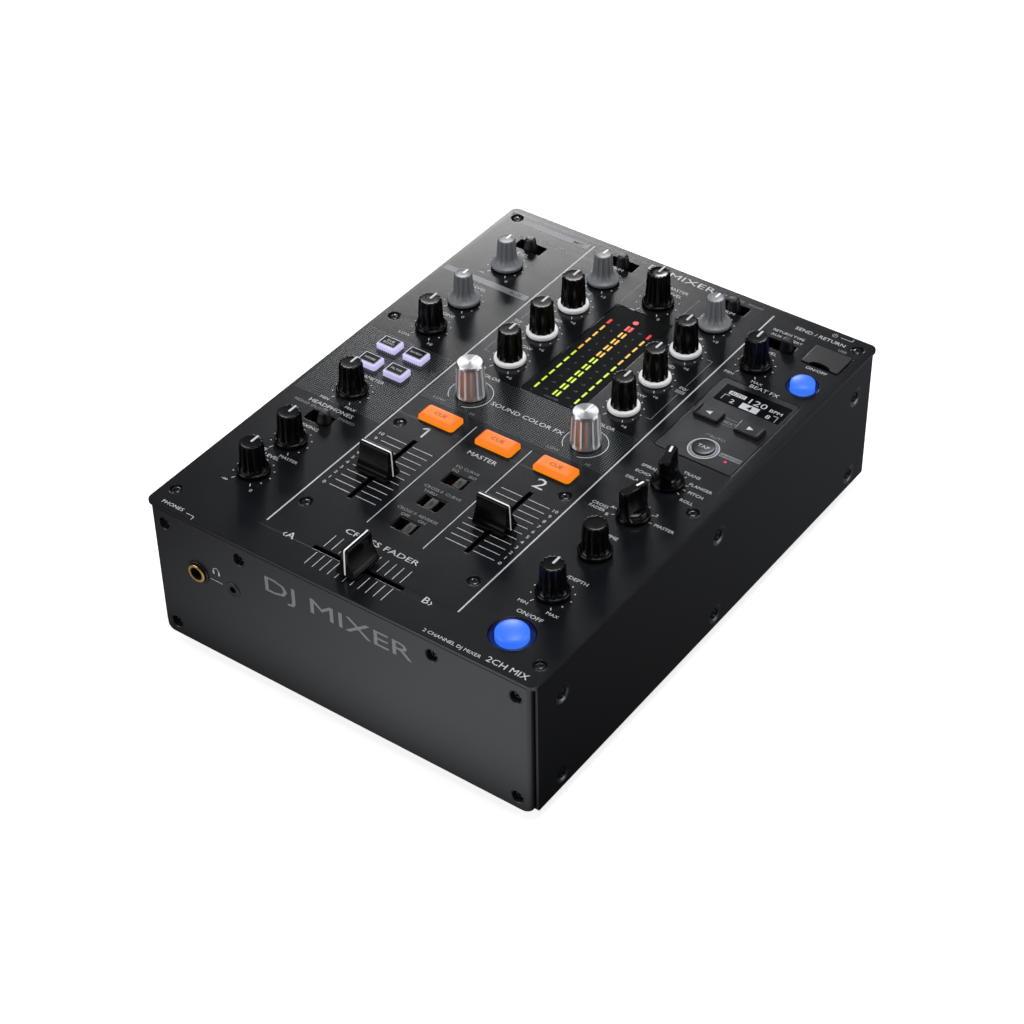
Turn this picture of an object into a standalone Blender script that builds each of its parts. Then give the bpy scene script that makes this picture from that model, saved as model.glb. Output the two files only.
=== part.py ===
"""A compact two-channel DJ mixer, built as the separate pieces it is assembled from.

Every number below is in millimetres and every x, y is measured from the middle of
the top panel, with y running from the player's side (front) to the sockets (back).
Heights called "above the panel" are measured from the top face of the top panel.
"""
import math

import bmesh
import bpy
from mathutils import Matrix, Vector

MM = 0.001

# ---------------------------------------------------------------- driving dimensions
PANEL_W = 230.0          # top panel, side to side
PANEL_D = 305.7          # top panel, front to back
PANEL_T = 2.0
PANEL_CORNER = 4.0
FOOT_H = 6.0             # the rubber feet hold the case this far off the table
BODY_H = 81.9            # front panel's lower edge to the top face of the top panel
KNOB_H = 20.0            # the tallest knobs' height above the panel
KNOB_SHORTER = {"black": 1.6, "grey": 2.3, "pointer": 2.2}      # how much lower these are
FRONT_RING = 1.5         # how far the headphone jack's ring stands out at the front
REAR_POST = 12.9         # how far the earth terminal stands out past the top panel

SHEET = 1.5              # folded steel of the case
FRONT_T = 2.5            # front panel
FRONT_W = 224.0
SIDE_W = 228.0           # over the outer faces of the side walls
WALL_FRONT_Y = -146.5    # side walls run from here ...
WALL_BACK_Y = 149.5      # ... to the outer face of the back wall
CASE_BOTTOM = 1.0        # the case's underside above the front panel's lower edge
GAP = 0.4                # room left between neighbouring pieces

BOARD_TOP = -14.0        # top face of the control board, below the panel's top face
BOARD_T = 1.6
POT_TOP = -4.5
POT_HOLE_BOTTOM = -11.0
SHAFT_END = -10.5
SHAFT_R = 3.0
FACETS = 14              # sides of a knob's outline

CENTRE_X = 0.2           # the controls' own middle line
STRIP_X = 35.0           # the channel strips, either side of it
LEFT_X = -85.3           # microphone and headphones column
RIGHT_X = 84.9           # effects column

PANEL_TOP_Z = FOOT_H + BODY_H
PANEL_Y = (FRONT_RING - REAR_POST) / 2      # centres the whole depth on the origin

# ---------------------------------------------------------------- tables of controls
# Rotary knobs: x, y, style.
CH_KNOBS = {"trim_knob": (121.6, "grey"), "hi_knob": (93.7, "ringed"),
            "mid_knob": (65.1, "ringed"), "low_knob": (36.5, "ringed"),
            "color_knob": (2.7, "silver")}
KNOBS = {
    "mic_level_knob": (LEFT_X, 104.0, "grey"),
    "aux_level_knob": (LEFT_X, 65.1, "grey"),
    "mic_tone_knob": (LEFT_X, 36.5, "black"),
    "color_parameter_knob": (LEFT_X, -29.6, "black"),
    "headphones_mixing_knob": (LEFT_X, -78.2, "black"),
    "headphones_level_knob": (LEFT_X, -106.8, "black"),
    "master_level_knob": (CENTRE_X, 121.3, "large"),
    "return_level_knob": (71.0, 103.8, "black"),
    "beat_time_knob": (RIGHT_X, -62.0, "black"),
    "beat_depth_knob": (RIGHT_X, -96.4, "black"),
}
for side, name in ((-1, "ch1"), (1, "ch2")):
    for knob, (knob_y, knob_style) in CH_KNOBS.items():
        KNOBS[f"{name}_{knob}"] = (CENTRE_X + side * STRIP_X, knob_y, knob_style)

# Pointer knobs: x, y, and the angle of the pointer from straight back, leftwards.
SELECTORS = {
    "beat_select_knob": (RIGHT_X, 0.0, 15.0),
    "beat_channel_knob": (RIGHT_X, -30.0, -15.0),
}

# Oblong buttons: x, y, half width, half depth, height above the panel, chamfer.
BOX_BUTTONS = {
    "color_button_1": (-92.5, 10.8, 6.0, 4.5, 3.0, 1.2),
    "color_button_2": (-75.5, 10.8, 6.0, 4.5, 3.0, 1.2),
    "color_button_3": (-92.5, -5.7, 6.0, 4.5, 3.0, 1.2),
    "color_button_4": (-75.5, -5.7, 6.0, 4.5, 3.0, 1.2),
    "ch1_cue_button": (CENTRE_X - STRIP_X, -22.6, 10.7, 5.5, 2.6, 1.5),
    "master_cue_button": (CENTRE_X, -22.6, 10.7, 5.5, 2.6, 1.5),
    "ch2_cue_button": (CENTRE_X + STRIP_X, -22.6, 10.7, 5.5, 2.6, 1.5),
    "beat_left_button": (73.2, 56.0, 7.0, 4.2, 1.9, 0.6),
    "beat_right_button": (97.0, 56.0, 7.0, 4.2, 1.9, 0.6),
}
# Round buttons: x, y, radius, height above the panel, radius of the hole round it.
ROUND_BUTTONS = {
    "return_on_button": (99.5, 102.5, 6.4, 4.2, 8.4),
    "beat_on_button": (85.3, -129.0, 8.1, 3.6, 11.2),
    "tap_button": (85.3, 31.8, 6.0, 1.9, 6.4),
}
# Slide switches with a lever: x, y of the slot, its half sizes, the lever's place in it.
LEVER_SWITCHES = {
    "mic_switch_lever": (-85.0, 125.4, 8.5, 3.9, 0.0),
    "ch1_source_lever": (CENTRE_X - STRIP_X, 140.3, 8.5, 3.9, 0.0),
    "ch2_source_lever": (CENTRE_X + STRIP_X, 140.3, 8.5, 3.9, 0.0),
    "return_type_lever": (72.5, 125.3, 8.5, 3.9, 4.0),
    "headphones_mode_lever": (-85.0, -56.3, 7.2, 4.2, 3.0),
}
# Sunk slide switches in the middle: y, the slider's place in its recess.
SUNK_SWITCHES = {
    "eq_curve_slider": (-57.0, 2.2),
    "fader_curve_slider": (-76.8, 0.0),
    "fader_reverse_slider": (-97.0, 2.2),
}
SUNK_HX, SUNK_HY = 6.25, 4.5
# Faders: the middle and the half length of each slot, and where the channel caps stand.
CH_SLOT_Y, CH_SLOT_HALF = -69.8, 26.5
CROSS_Y, CROSS_SLOT_HALF = -133.3, 26.6
FADER_SLOT_HALF_W = 1.3
CAP_Y = -73.5
# The clear window over the level meter, the effects panel and the USB lid.
METER = (0.4, 64.6, 17.1, 43.6)
EFFECTS = (85.3, 53.9, 22.0, 32.7)
USB = (98.6, 128.5, 10.6, 8.0)
FRONT_SCREWS = [(x, z) for x in (-104.0, -57.2, 57.2, 104.0) for z in (71.7, 7.5)
                if not (abs(x) < 60 and z < 60)]
BIG_JACK = (-85.0, 50.0)
SMALL_JACK = (-63.0, 49.7)
FEET = [(x, y) for x in (-88.0, 88.0) for y in (-120.0, 122.0)]
BOARD_POSTS = [(x, y) for x in (-50.0, 50.0) for y in (-36.2, -110.0)]

# Back wall: x and height above the front panel's lower edge.
XLR_PLACES = [(62.0, 27.0), (35.0, 27.0)]
XLR_R = 9.2
MIC_PLACE = (-94.0, 27.0)
JACK_PLACES = [(x, 58.0) for x in (70.0, 52.0, 34.0, 16.0)]
RCA_PLACES = [(x, z) for x in (11.0, -9.0, -25.0, -49.0, -65.0) for z in (19.0, 33.0)]
EARTH_PLACE = (-37.0, 58.0)
POWER_PLACE = (98.0, 62.0)
INLET_PLACE = (91.0, 26.0)
INLET_HX, INLET_HZ = 13.8, 10.2
JACK_BOARD_Y = 130.0


# ---------------------------------------------------------------- materials
def material(name, color, roughness, metallic=0.0):
    """One Principled material, made once and shared by name."""
    found = bpy.data.materials.get(name)
    if found:
        return found
    made = bpy.data.materials.new(name)
    made.use_nodes = True
    shader = made.node_tree.nodes["Principled BSDF"]
    shader.inputs["Base Color"].default_value = (*color, 1.0)
    shader.inputs["Roughness"].default_value = roughness
    shader.inputs["Metallic"].default_value = metallic
    return made


LOOKS = {
    "black_steel": ((0.018, 0.018, 0.020), 0.38, 0.6),
    "front_steel": ((0.035, 0.036, 0.040), 0.42, 0.6),
    "black_knob": ((0.012, 0.012, 0.013), 0.25, 0.0),
    "grey_knob": ((0.16, 0.16, 0.17), 0.4, 0.0),
    "silver_knob": ((0.75, 0.75, 0.76), 0.25, 1.0),
    "orange_button": ((1.0, 0.28, 0.03), 0.35, 0.0),
    "blue_button": ((0.05, 0.2, 1.0), 0.3, 0.0),
    "lilac_button": ((0.62, 0.6, 0.85), 0.4, 0.0),
    "smoked_window": ((0.01, 0.01, 0.012), 0.08, 0.0),
    "green_board": ((0.02, 0.12, 0.05), 0.5, 0.0),
    "foot_rubber": ((0.02, 0.02, 0.02), 0.85, 0.0),
}


# ---------------------------------------------------------------- mesh helpers
def new_object(name, bm, look, at=(0.0, 0.0, 0.0)):
    """Turns a bmesh in millimetres into a named object whose origin is at `at`."""
    bmesh.ops.recalc_face_normals(bm, faces=bm.faces)
    bmesh.ops.scale(bm, vec=(MM, MM, MM), verts=bm.verts)
    mesh = bpy.data.meshes.new(name)
    bm.to_mesh(mesh)
    bm.free()
    made = bpy.data.objects.new(name, mesh)
    made.location = Vector(at) * MM
    bpy.context.scene.collection.objects.link(made)
    if look:
        mesh.materials.append(material(look, *LOOKS[look]))
        mesh.shade_smooth()
        mesh.set_sharp_from_angle(angle=math.radians(35))
    else:
        made.hide_render = True
        made.display_type = "WIRE"
    return made


def add_loft(bm, loops):
    """Adds a closed skin through loops of equal length, capped at both ends."""
    rings = [[bm.verts.new(p) for p in loop] for loop in loops]
    for low, high in zip(rings, rings[1:]):
        for i, start in enumerate(low):
            j = (i + 1) % len(low)
            bm.faces.new((start, low[j], high[j], high[i]))
    bm.faces.new(rings[0][::-1])
    bm.faces.new(rings[-1])


def circle(radius, z, sides=FACETS, cx=0.0, cy=0.0):
    steps = [2 * math.pi * (i + 0.5) / sides for i in range(sides)]
    return [(cx + radius * math.cos(a), cy + radius * math.sin(a), z) for a in steps]


def rectangle(hx, hy, z, cx=0.0, cy=0.0, chamfer=0.0):
    """A rectangle, or with a chamfer an eight-sided outline, at height z."""
    if not chamfer:
        corners = [(-hx, -hy), (hx, -hy), (hx, hy), (-hx, hy)]
    else:
        c = chamfer
        corners = [(c - hx, -hy), (hx - c, -hy), (hx, c - hy), (hx, hy - c),
                   (hx - c, hy), (c - hx, hy), (-hx, hy - c), (-hx, c - hy)]
    return [(cx + x, cy + y, z) for x, y in corners]


def rounded_outline(hx, hy, radius, z, steps=4):
    points = []
    for quarter, (sx, sy) in enumerate(((1, 1), (-1, 1), (-1, -1), (1, -1))):
        for i in range(steps + 1):
            a = math.pi / 2 * (quarter + i / steps)
            points.append((sx * (hx - radius) + radius * math.cos(a),
                           sy * (hy - radius) + radius * math.sin(a), z))
    return points


def add_box(bm, low, high):
    (x0, y0, z0), (x1, y1, z1) = low, high
    hx, hy = (x1 - x0) / 2, (y1 - y0) / 2
    middle = (x0 + hx, y0 + hy)
    add_loft(bm, [rectangle(hx, hy, z0, *middle), rectangle(hx, hy, z1, *middle)])


def add_rod(bm, start, direction, rings, sides=12):
    """Adds a turned shape: rings are (distance along, radius) from `start`."""
    turn = Vector((0, 0, 1)).rotation_difference(Vector(direction)).to_matrix()
    loops = [[Vector(start) + turn @ Vector(p) for p in circle(r, d, sides)]
             for d, r in rings]
    add_loft(bm, loops)


def cutter(name, bm, at=(0.0, 0.0, 0.0)):
    return new_object(name, bm, None, at)


def boolean(target, operation, tool):
    step = target.modifiers.new(tool.name, "BOOLEAN")
    step.operation = operation
    step.object = tool
    step.solver = "EXACT"
    step.use_self = operation == "UNION"


def on_panel(x, y, z=0.0):
    """A place on the top panel, in the whole object's frame."""
    return (x, PANEL_Y + y, PANEL_TOP_Z + z)


PANEL_FRAME = on_panel(0.0, 0.0)


# ---------------------------------------------------------------- knobs
def knob_profile(style):
    """Heights above the panel and radii, from the shaft's end to the top face."""
    shaft = [(SHAFT_END, SHAFT_R), (0.9, SHAFT_R)]
    top = KNOB_H - KNOB_SHORTER.get(style, 0.0)
    shapes = {
        "black": [(0.9, 8.4), (2.2, 8.2), (4.0, 6.7), (top - 1.0, 6.1), (top, 5.3)],
        "large": [(0.9, 9.2), (2.2, 9.0), (4.4, 7.6), (top - 1.2, 6.9), (top, 6.1)],
        "ringed": [(0.9, 8.4), (2.2, 8.4), (3.6, 7.0), (top - 1.0, 6.1), (top, 5.3)],
        "grey": [(0.9, 8.75), (2.4, 8.6), (6.0, 6.3), (top - 0.9, 5.5), (top, 4.9)],
        "silver": [(0.9, 8.0), (1.8, 8.0), (2.4, 7.9), (top - 1.4, 7.2), (top, 6.4)],
    }
    return shaft + shapes[style]


def make_knobs():
    looks = {"grey": "grey_knob", "silver": "silver_knob"}
    for name, (x, y, style) in KNOBS.items():
        bm = bmesh.new()
        add_loft(bm, [circle(r, z) for z, r in knob_profile(style)])
        new_object(name, bm, looks.get(style, "black_knob"), on_panel(x, y))


def make_selectors():
    """Pointer knobs: a round skirt that runs into an upright bar."""
    skirt = [(SHAFT_END, SHAFT_R), (0.9, SHAFT_R), (0.9, 8.6), (2.2, 8.4), (4.4, 7.4)]
    top = KNOB_H - KNOB_SHORTER["pointer"]
    bar = [(9.0, 3.4, 7.3), (top - 0.8, 2.5, 7.3), (top, 2.1, 6.9)]
    for name, (x, y, turn) in SELECTORS.items():
        bm = bmesh.new()
        rounds = [circle(r, z, 8) for z, r in skirt]
        loops = [ring[5:] + ring[:5] for ring in rounds]    # both start at the same bearing
        loops += [rectangle(hx, hy, z, chamfer=1.2) for z, hx, hy in bar]
        add_loft(bm, loops)
        spin = Matrix.Rotation(math.radians(turn), 3, "Z")
        bmesh.ops.rotate(bm, cent=(0, 0, 0), matrix=spin, verts=bm.verts)
        new_object(name, bm, "black_knob", on_panel(x, y))


# ---------------------------------------------------------------- buttons
FLANGE_TOP, FLANGE_LOW, STEM_LOW = -2.5, -3.6, -7.0


def make_buttons():
    for name, (x, y, hx, hy, top, chamfer) in BOX_BUTTONS.items():
        look = "orange_button" if "cue" in name else "lilac_button"
        if "beat" in name:
            look = "black_knob"
        bm = bmesh.new()
        rings = [(STEM_LOW, 2.0, 2.0, 0.8), (FLANGE_LOW, 2.0, 2.0, 0.8),
                 (FLANGE_LOW, hx + 0.9, hy + 0.9, 1.5), (FLANGE_TOP, hx + 0.9, hy + 0.9, 1.5),
                 (FLANGE_TOP, hx, hy, 1.2), (top - chamfer * 0.6, hx, hy, 1.2),
                 (top, hx - chamfer, hy - chamfer, 0.9)]
        add_loft(bm, [rectangle(a, b, z, chamfer=c) for z, a, b, c in rings])
        new_object(name, bm, look, on_panel(x, y))
    for name, (x, y, r, top, hole_r) in ROUND_BUTTONS.items():
        flat = name == "tap_button"
        bm = bmesh.new()
        rings = [(STEM_LOW, 2.2), (FLANGE_LOW, 2.2), (FLANGE_LOW, hole_r + 0.7),
                 (FLANGE_TOP, hole_r + 0.7), (FLANGE_TOP, r)]
        dome = [(top - 0.4, r), (top, r - 0.5)] if flat else [
            (top - r * 0.32, r), (top - r * 0.11, r * 0.8), (top, r * 0.42)]
        add_loft(bm, [circle(radius, z, 16) for z, radius in rings + dome])
        new_object(name, bm, "black_knob" if flat else "blue_button", on_panel(x, y))


# ---------------------------------------------------------------- slide switches, faders
def make_switch_levers():
    for name, (x, y, _, hy, place) in LEVER_SWITCHES.items():
        bm = bmesh.new()
        rings = [(-6.6, 1.4, 1.4), (-2.8, 1.4, 1.4), (-2.8, 3.6, hy - 0.5),
                 (-0.2, 3.4, hy - 0.6), (2.2, 2.7, 2.7), (5.6, 1.9, 2.2), (6.4, 1.1, 1.4)]
        add_loft(bm, [rectangle(a, b, z, chamfer=a * 0.4) for z, a, b in rings])
        new_object(name, bm, "black_knob", on_panel(x + place, y))
    for name, (y, place) in SUNK_SWITCHES.items():
        bm = bmesh.new()
        rings = [(-6.6, 1.4, 1.4), (-4.2, 1.4, 1.4), (-4.2, 2.3, 3.8), (-0.4, 2.1, 3.6)]
        add_loft(bm, [rectangle(a, b, z) for z, a, b in rings])
        new_object(name, bm, "black_knob", on_panel(CENTRE_X + place, y))


def make_fader(name, x, y, along_y):
    """A fader's lever and its cap: the cap lies across the slot."""
    rings = [(-10.0, 0.5, 2.2), (1.2, 0.5, 2.2), (1.2, 9.6, 5.6), (3.0, 9.6, 5.4),
             (7.0, 9.4, 3.4), (11.5, 9.2, 2.5), (15.8, 9.0, 2.1), (16.8, 8.5, 1.6)]
    loops = [rectangle(a, b, z) for z, a, b in rings]
    if not along_y:
        loops = [[(-q, p, z) for p, q, z in loop] for loop in loops]
    bm = bmesh.new()
    add_loft(bm, loops)
    new_object(name, bm, "black_knob", on_panel(x, y))


# ---------------------------------------------------------------- panels
def make_top_panel():
    bm = bmesh.new()
    outline = [rounded_outline(PANEL_W / 2, PANEL_D / 2, PANEL_CORNER, z) for z in (-PANEL_T, 0.0)]
    add_loft(bm, outline)
    panel = new_object("top_panel", bm, "black_steel", PANEL_FRAME)

    low, high = -PANEL_T - 1.0, 1.0
    cuts = bmesh.new()

    def cut_round(x, y, r, sides=8):
        add_loft(cuts, [circle(r, z, sides, x, y) for z in (low, high)])

    def cut_box(x, y, hx, hy):
        add_loft(cuts, [rectangle(hx, hy, z, x, y) for z in (low, high)])

    for x, y, _ in [*KNOBS.values(), *SELECTORS.values()]:
        cut_round(x, y, SHAFT_R + 0.9)
    for name, (x, y, hx, hy, _, _) in BOX_BUTTONS.items():
        if "beat" not in name:
            cut_box(x, y, hx + GAP, hy + GAP)
    for name, (x, y, _, _, hole_r) in ROUND_BUTTONS.items():
        if name != "tap_button":
            cut_round(x, y, hole_r, 16)
    for x, y, hx, hy, _ in LEVER_SWITCHES.values():
        cut_box(x, y, hx, hy)
    for y, _ in SUNK_SWITCHES.values():
        cut_box(CENTRE_X, y, SUNK_HX, SUNK_HY)
    for side in (-1, 1):
        cut_box(CENTRE_X + side * STRIP_X, CH_SLOT_Y, FADER_SLOT_HALF_W, CH_SLOT_HALF)
    cut_box(CENTRE_X, CROSS_Y, CROSS_SLOT_HALF, FADER_SLOT_HALF_W)
    for x, y, hx, hy in (METER, EFFECTS, USB):
        cut_box(x, y, hx + GAP, hy + GAP)
    boolean(panel, "DIFFERENCE", cutter("cut_panel_openings", cuts, PANEL_FRAME))


def make_windows():
    x, y, hx, hy = METER
    bm = bmesh.new()
    add_box(bm, (-hx, -hy, -3.4), (hx, hy, -0.1))
    new_object("meter_window", bm, "smoked_window", on_panel(x, y))

    x, y, hx, hy = EFFECTS
    bm = bmesh.new()
    add_box(bm, (-hx, -hy, -1.9), (hx, hy, 0.2))
    window = new_object("effects_panel", bm, "smoked_window", on_panel(x, y))
    cuts = bmesh.new()
    for name, (bx, by, bhx, bhy, _, _) in BOX_BUTTONS.items():
        if "beat" in name:
            add_loft(cuts, [rectangle(bhx + GAP, bhy + GAP, z, bx - x, by - y)
                            for z in (-3.0, 1.0)])
    tx, ty, _, _, hole_r = ROUND_BUTTONS["tap_button"]
    add_loft(cuts, [circle(hole_r, z, 16, tx - x, ty - y) for z in (-3.0, 1.0)])
    boolean(window, "DIFFERENCE", cutter("cut_effects_buttons", cuts, on_panel(x, y)))


def make_usb_lid():
    """A flush lid over the USB socket, hinged on its back edge, notched for a finger."""
    x, y, hx, hy = USB
    lid_low, lid_top = -1.0, 0.6
    bm = bmesh.new()
    front, notch_w, notch_d = -2 * hy, 6.0, 3.0
    arc = [(-notch_w * math.cos(math.pi * i / 6), front + notch_d * math.sin(math.pi * i / 6))
           for i in range(7)]
    outline = [(-hx, front), *arc, (hx, front), (hx, 0.0), (-hx, 0.0)]
    add_loft(bm, [[(px, py, z) for px, py in outline] for z in (lid_low - lid_top, 0.0)])
    new_object("usb_lid", bm, "black_steel", on_panel(x, y + hy, lid_top))


def make_front_panel():
    """Front panel with short returns folded back round both sides."""
    half, back = FRONT_W / 2, -PANEL_D / 2 + 6.0
    front = -PANEL_D / 2
    top = BODY_H - PANEL_T - 0.3
    fold = [math.pi / 2 * i / 3 for i in range(4)]
    r = 2.2
    right = [(half, back)] + [(half - r + r * math.cos(a), front + r - r * math.sin(a)) for a in fold]
    inner = [(half - FRONT_T, front + FRONT_T), (half - FRONT_T, back)]
    outline = right + [(-x, y) for x, y in reversed(right)]
    outline += [(-x, y) for x, y in reversed(inner)] + inner
    bm = bmesh.new()
    add_loft(bm, [[(x, y, z) for x, y in outline] for z in (0.0, top)])
    frame = (0.0, PANEL_Y, FOOT_H)
    panel = new_object("front_panel", bm, "front_steel", frame)
    cuts = bmesh.new()
    holes = [(x, z, 3.6, 10) for x, z in FRONT_SCREWS]
    holes += [(*BIG_JACK, 6.6, 16), (*SMALL_JACK, 4.5, 14)]
    for x, z, radius, sides in holes:
        add_rod(cuts, (x, front - 1.0, z), (0, 1, 0), [(0.0, radius), (FRONT_T + 2.0, radius)], sides)
    boolean(panel, "DIFFERENCE", cutter("cut_front_holes", cuts, frame))


# ---------------------------------------------------------------- case
def make_case():
    """Bottom, two side walls and back wall, folded from one sheet."""
    half = SIDE_W / 2
    top = BODY_H - PANEL_T - 0.3
    frame = (0.0, PANEL_Y, FOOT_H)
    bm = bmesh.new()
    add_box(bm, (-half, WALL_FRONT_Y, CASE_BOTTOM), (half, WALL_BACK_Y, top))
    case = new_object("case", bm, "black_steel", frame)
    inside = bmesh.new()
    add_box(inside, (SHEET - half, WALL_FRONT_Y - 1.0, CASE_BOTTOM + SHEET),
            (half - SHEET, WALL_BACK_Y - SHEET, top + 1.0))
    boolean(case, "DIFFERENCE", cutter("cut_case_inside", inside, frame))
    lip = bmesh.new()
    lip_half = FRONT_W / 2 - FRONT_T - 0.6
    add_box(lip, (-lip_half, -PANEL_D / 2 + FRONT_T + 0.4, CASE_BOTTOM + 0.2),
            (lip_half, WALL_FRONT_Y + 1.0, CASE_BOTTOM + SHEET - 0.2))
    boolean(case, "UNION", cutter("join_case_lip", lip, frame))

    cuts = bmesh.new()
    start = WALL_BACK_Y - SHEET - 1.0
    length = SHEET + 2.0

    def cut_round(x, z, r, sides=12):
        add_rod(cuts, (x, start, z), (0, 1, 0), [(0.0, r), (length, r)], sides)

    for x, z in [*XLR_PLACES, MIC_PLACE]:
        cut_round(x, z, XLR_R + 2.4, 16)
    for x, z in JACK_PLACES:
        cut_round(x, z, 5.6)
    for x, z in RCA_PLACES:
        cut_round(x, z, 5.6, 8)
    cut_round(*EARTH_PLACE, 3.4, 8)
    cut_round(*POWER_PLACE, 6.4)
    x, z = INLET_PLACE
    add_box(cuts, (x - INLET_HX - 0.4, start, z - INLET_HZ - 0.4),
            (x + INLET_HX + 0.4, start + length, z + INLET_HZ + 0.4))
    boolean(case, "DIFFERENCE", cutter("cut_back_wall", cuts, frame))


def make_feet():
    for number, (x, y) in enumerate(FEET, 1):
        bm = bmesh.new()
        top = FOOT_H + CASE_BOTTOM - 0.3
        add_loft(bm, [circle(r, z, 16) for z, r in ((0.0, 8.6), (1.0, 9.4), (top, 10.0))])
        new_object(f"foot_{number}", bm, "foot_rubber", (x, PANEL_Y + y, 0.0))


# ---------------------------------------------------------------- boards inside
def make_control_board():
    """The board under the panel, with every pot, switch and fader body on it."""
    bm = bmesh.new()
    board_low = BOARD_TOP - BOARD_T
    add_box(bm, (-108.0, -142.0, board_low), (108.0, 144.5, BOARD_TOP))
    board = new_object("control_board", bm, "green_board", PANEL_FRAME)

    parts = bmesh.new()
    sink = BOARD_TOP - 0.8

    def stand(x, y, hx, hy, top):
        add_box(parts, (x - hx, y - hy, sink), (x + hx, y + hy, top))

    pots = [*KNOBS.values(), *SELECTORS.values()]
    for x, y, _ in pots:
        stand(x, y, 5.5, 6.0, POT_TOP)
    for x, y, *_ in [*BOX_BUTTONS.values(), *ROUND_BUTTONS.values()]:
        stand(x, y, 3.0, 3.0, -8.7)
    for x, y, hx, _, _ in LEVER_SWITCHES.values():
        stand(x, y, hx, 3.2, -7.0)
    for y, _ in SUNK_SWITCHES.values():
        stand(CENTRE_X, y, SUNK_HX, 3.2, -7.0)
    for x, y in BOARD_POSTS:
        stand(x, y, 2.6, 2.6, -PANEL_T - 0.4)
    fader_top = -3.2
    for side in (-1, 1):
        stand(CENTRE_X + side * STRIP_X, CH_SLOT_Y, 5.0, 32.0, fader_top)
    stand(CENTRE_X, CROSS_Y, 32.0, 5.0, fader_top)
    stand(*USB[:2], 8.6, 5.0, -2.4)
    boolean(board, "UNION", cutter("join_board_parts", parts, PANEL_FRAME))

    holes = bmesh.new()
    for x, y, _ in pots:
        add_loft(holes, [rectangle(3.6, 3.6, z, x, y) for z in (POT_HOLE_BOTTOM, 0.0)])
    for side in (-1, 1):
        x = CENTRE_X + side * STRIP_X
        add_loft(holes, [rectangle(1.1, 29.0, z, x, CH_SLOT_Y) for z in (-11.0, 0.0)])
    add_loft(holes, [rectangle(29.0, 1.1, z, CENTRE_X, CROSS_Y) for z in (-11.0, 0.0)])
    add_loft(holes, [rectangle(6.6, 2.9, z, *USB[:2]) for z in (-12.4, 0.0)])
    boolean(board, "DIFFERENCE", cutter("cut_board_sockets", holes, PANEL_FRAME))


def make_power_board():
    """Mains board on the case floor, with the inlet that shows in the back wall."""
    frame = (0.0, PANEL_Y, FOOT_H)
    part_low = 8.8          # parts start inside the board, so they fuse with it
    bm = bmesh.new()
    add_box(bm, (74.0, 20.0, 8.0), (109.0, 146.0, 9.6))
    board = new_object("power_board", bm, "green_board", frame)
    parts = bmesh.new()
    x, z = INLET_PLACE
    add_box(parts, (x - INLET_HX, 126.0, z - INLET_HZ), (x + INLET_HX, WALL_BACK_Y + 1.2, z + INLET_HZ))
    add_box(parts, (x - INLET_HX + 1.0, 127.0, part_low),
            (x + INLET_HX - 1.0, 144.0, z - INLET_HZ + 1.0))
    add_box(parts, (78.0, 60.0, part_low), (106.0, 96.0, 34.0))                   # transformer
    add_rod(parts, (84.0, 40.0, part_low), (0, 0, 1), [(0.0, 8.0), (26.0, 8.0)])  # capacitor
    add_box(parts, (98.0, 30.0, part_low), (101.0, 56.0, 32.0))                   # heat sink
    foot = CASE_BOTTOM + SHEET + 0.3
    for px in (78.0, 105.0):
        for py in (24.0, 110.0):
            add_box(parts, (px - 2.0, py - 2.0, foot), (px + 2.0, py + 2.0, part_low))
    boolean(board, "UNION", cutter("join_power_parts", parts, frame))
    socket = bmesh.new()
    add_box(socket, (x - 12.0, WALL_BACK_Y - 14.0, z - 8.2), (x + 12.0, WALL_BACK_Y + 3.0, z + 8.2))
    boolean(board, "DIFFERENCE", cutter("cut_inlet_socket", socket, frame))
    pins = bmesh.new()
    for px, pz in ((0.0, 4.0), (-7.0, -1.0), (7.0, -1.0)):
        add_box(pins, (x + px - 1.0, WALL_BACK_Y - 15.0, z + pz - 2.0),
                (x + px + 1.0, WALL_BACK_Y - 5.0, z + pz + 2.0))
    boolean(board, "UNION", cutter("join_inlet_pins", pins, frame))


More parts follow.
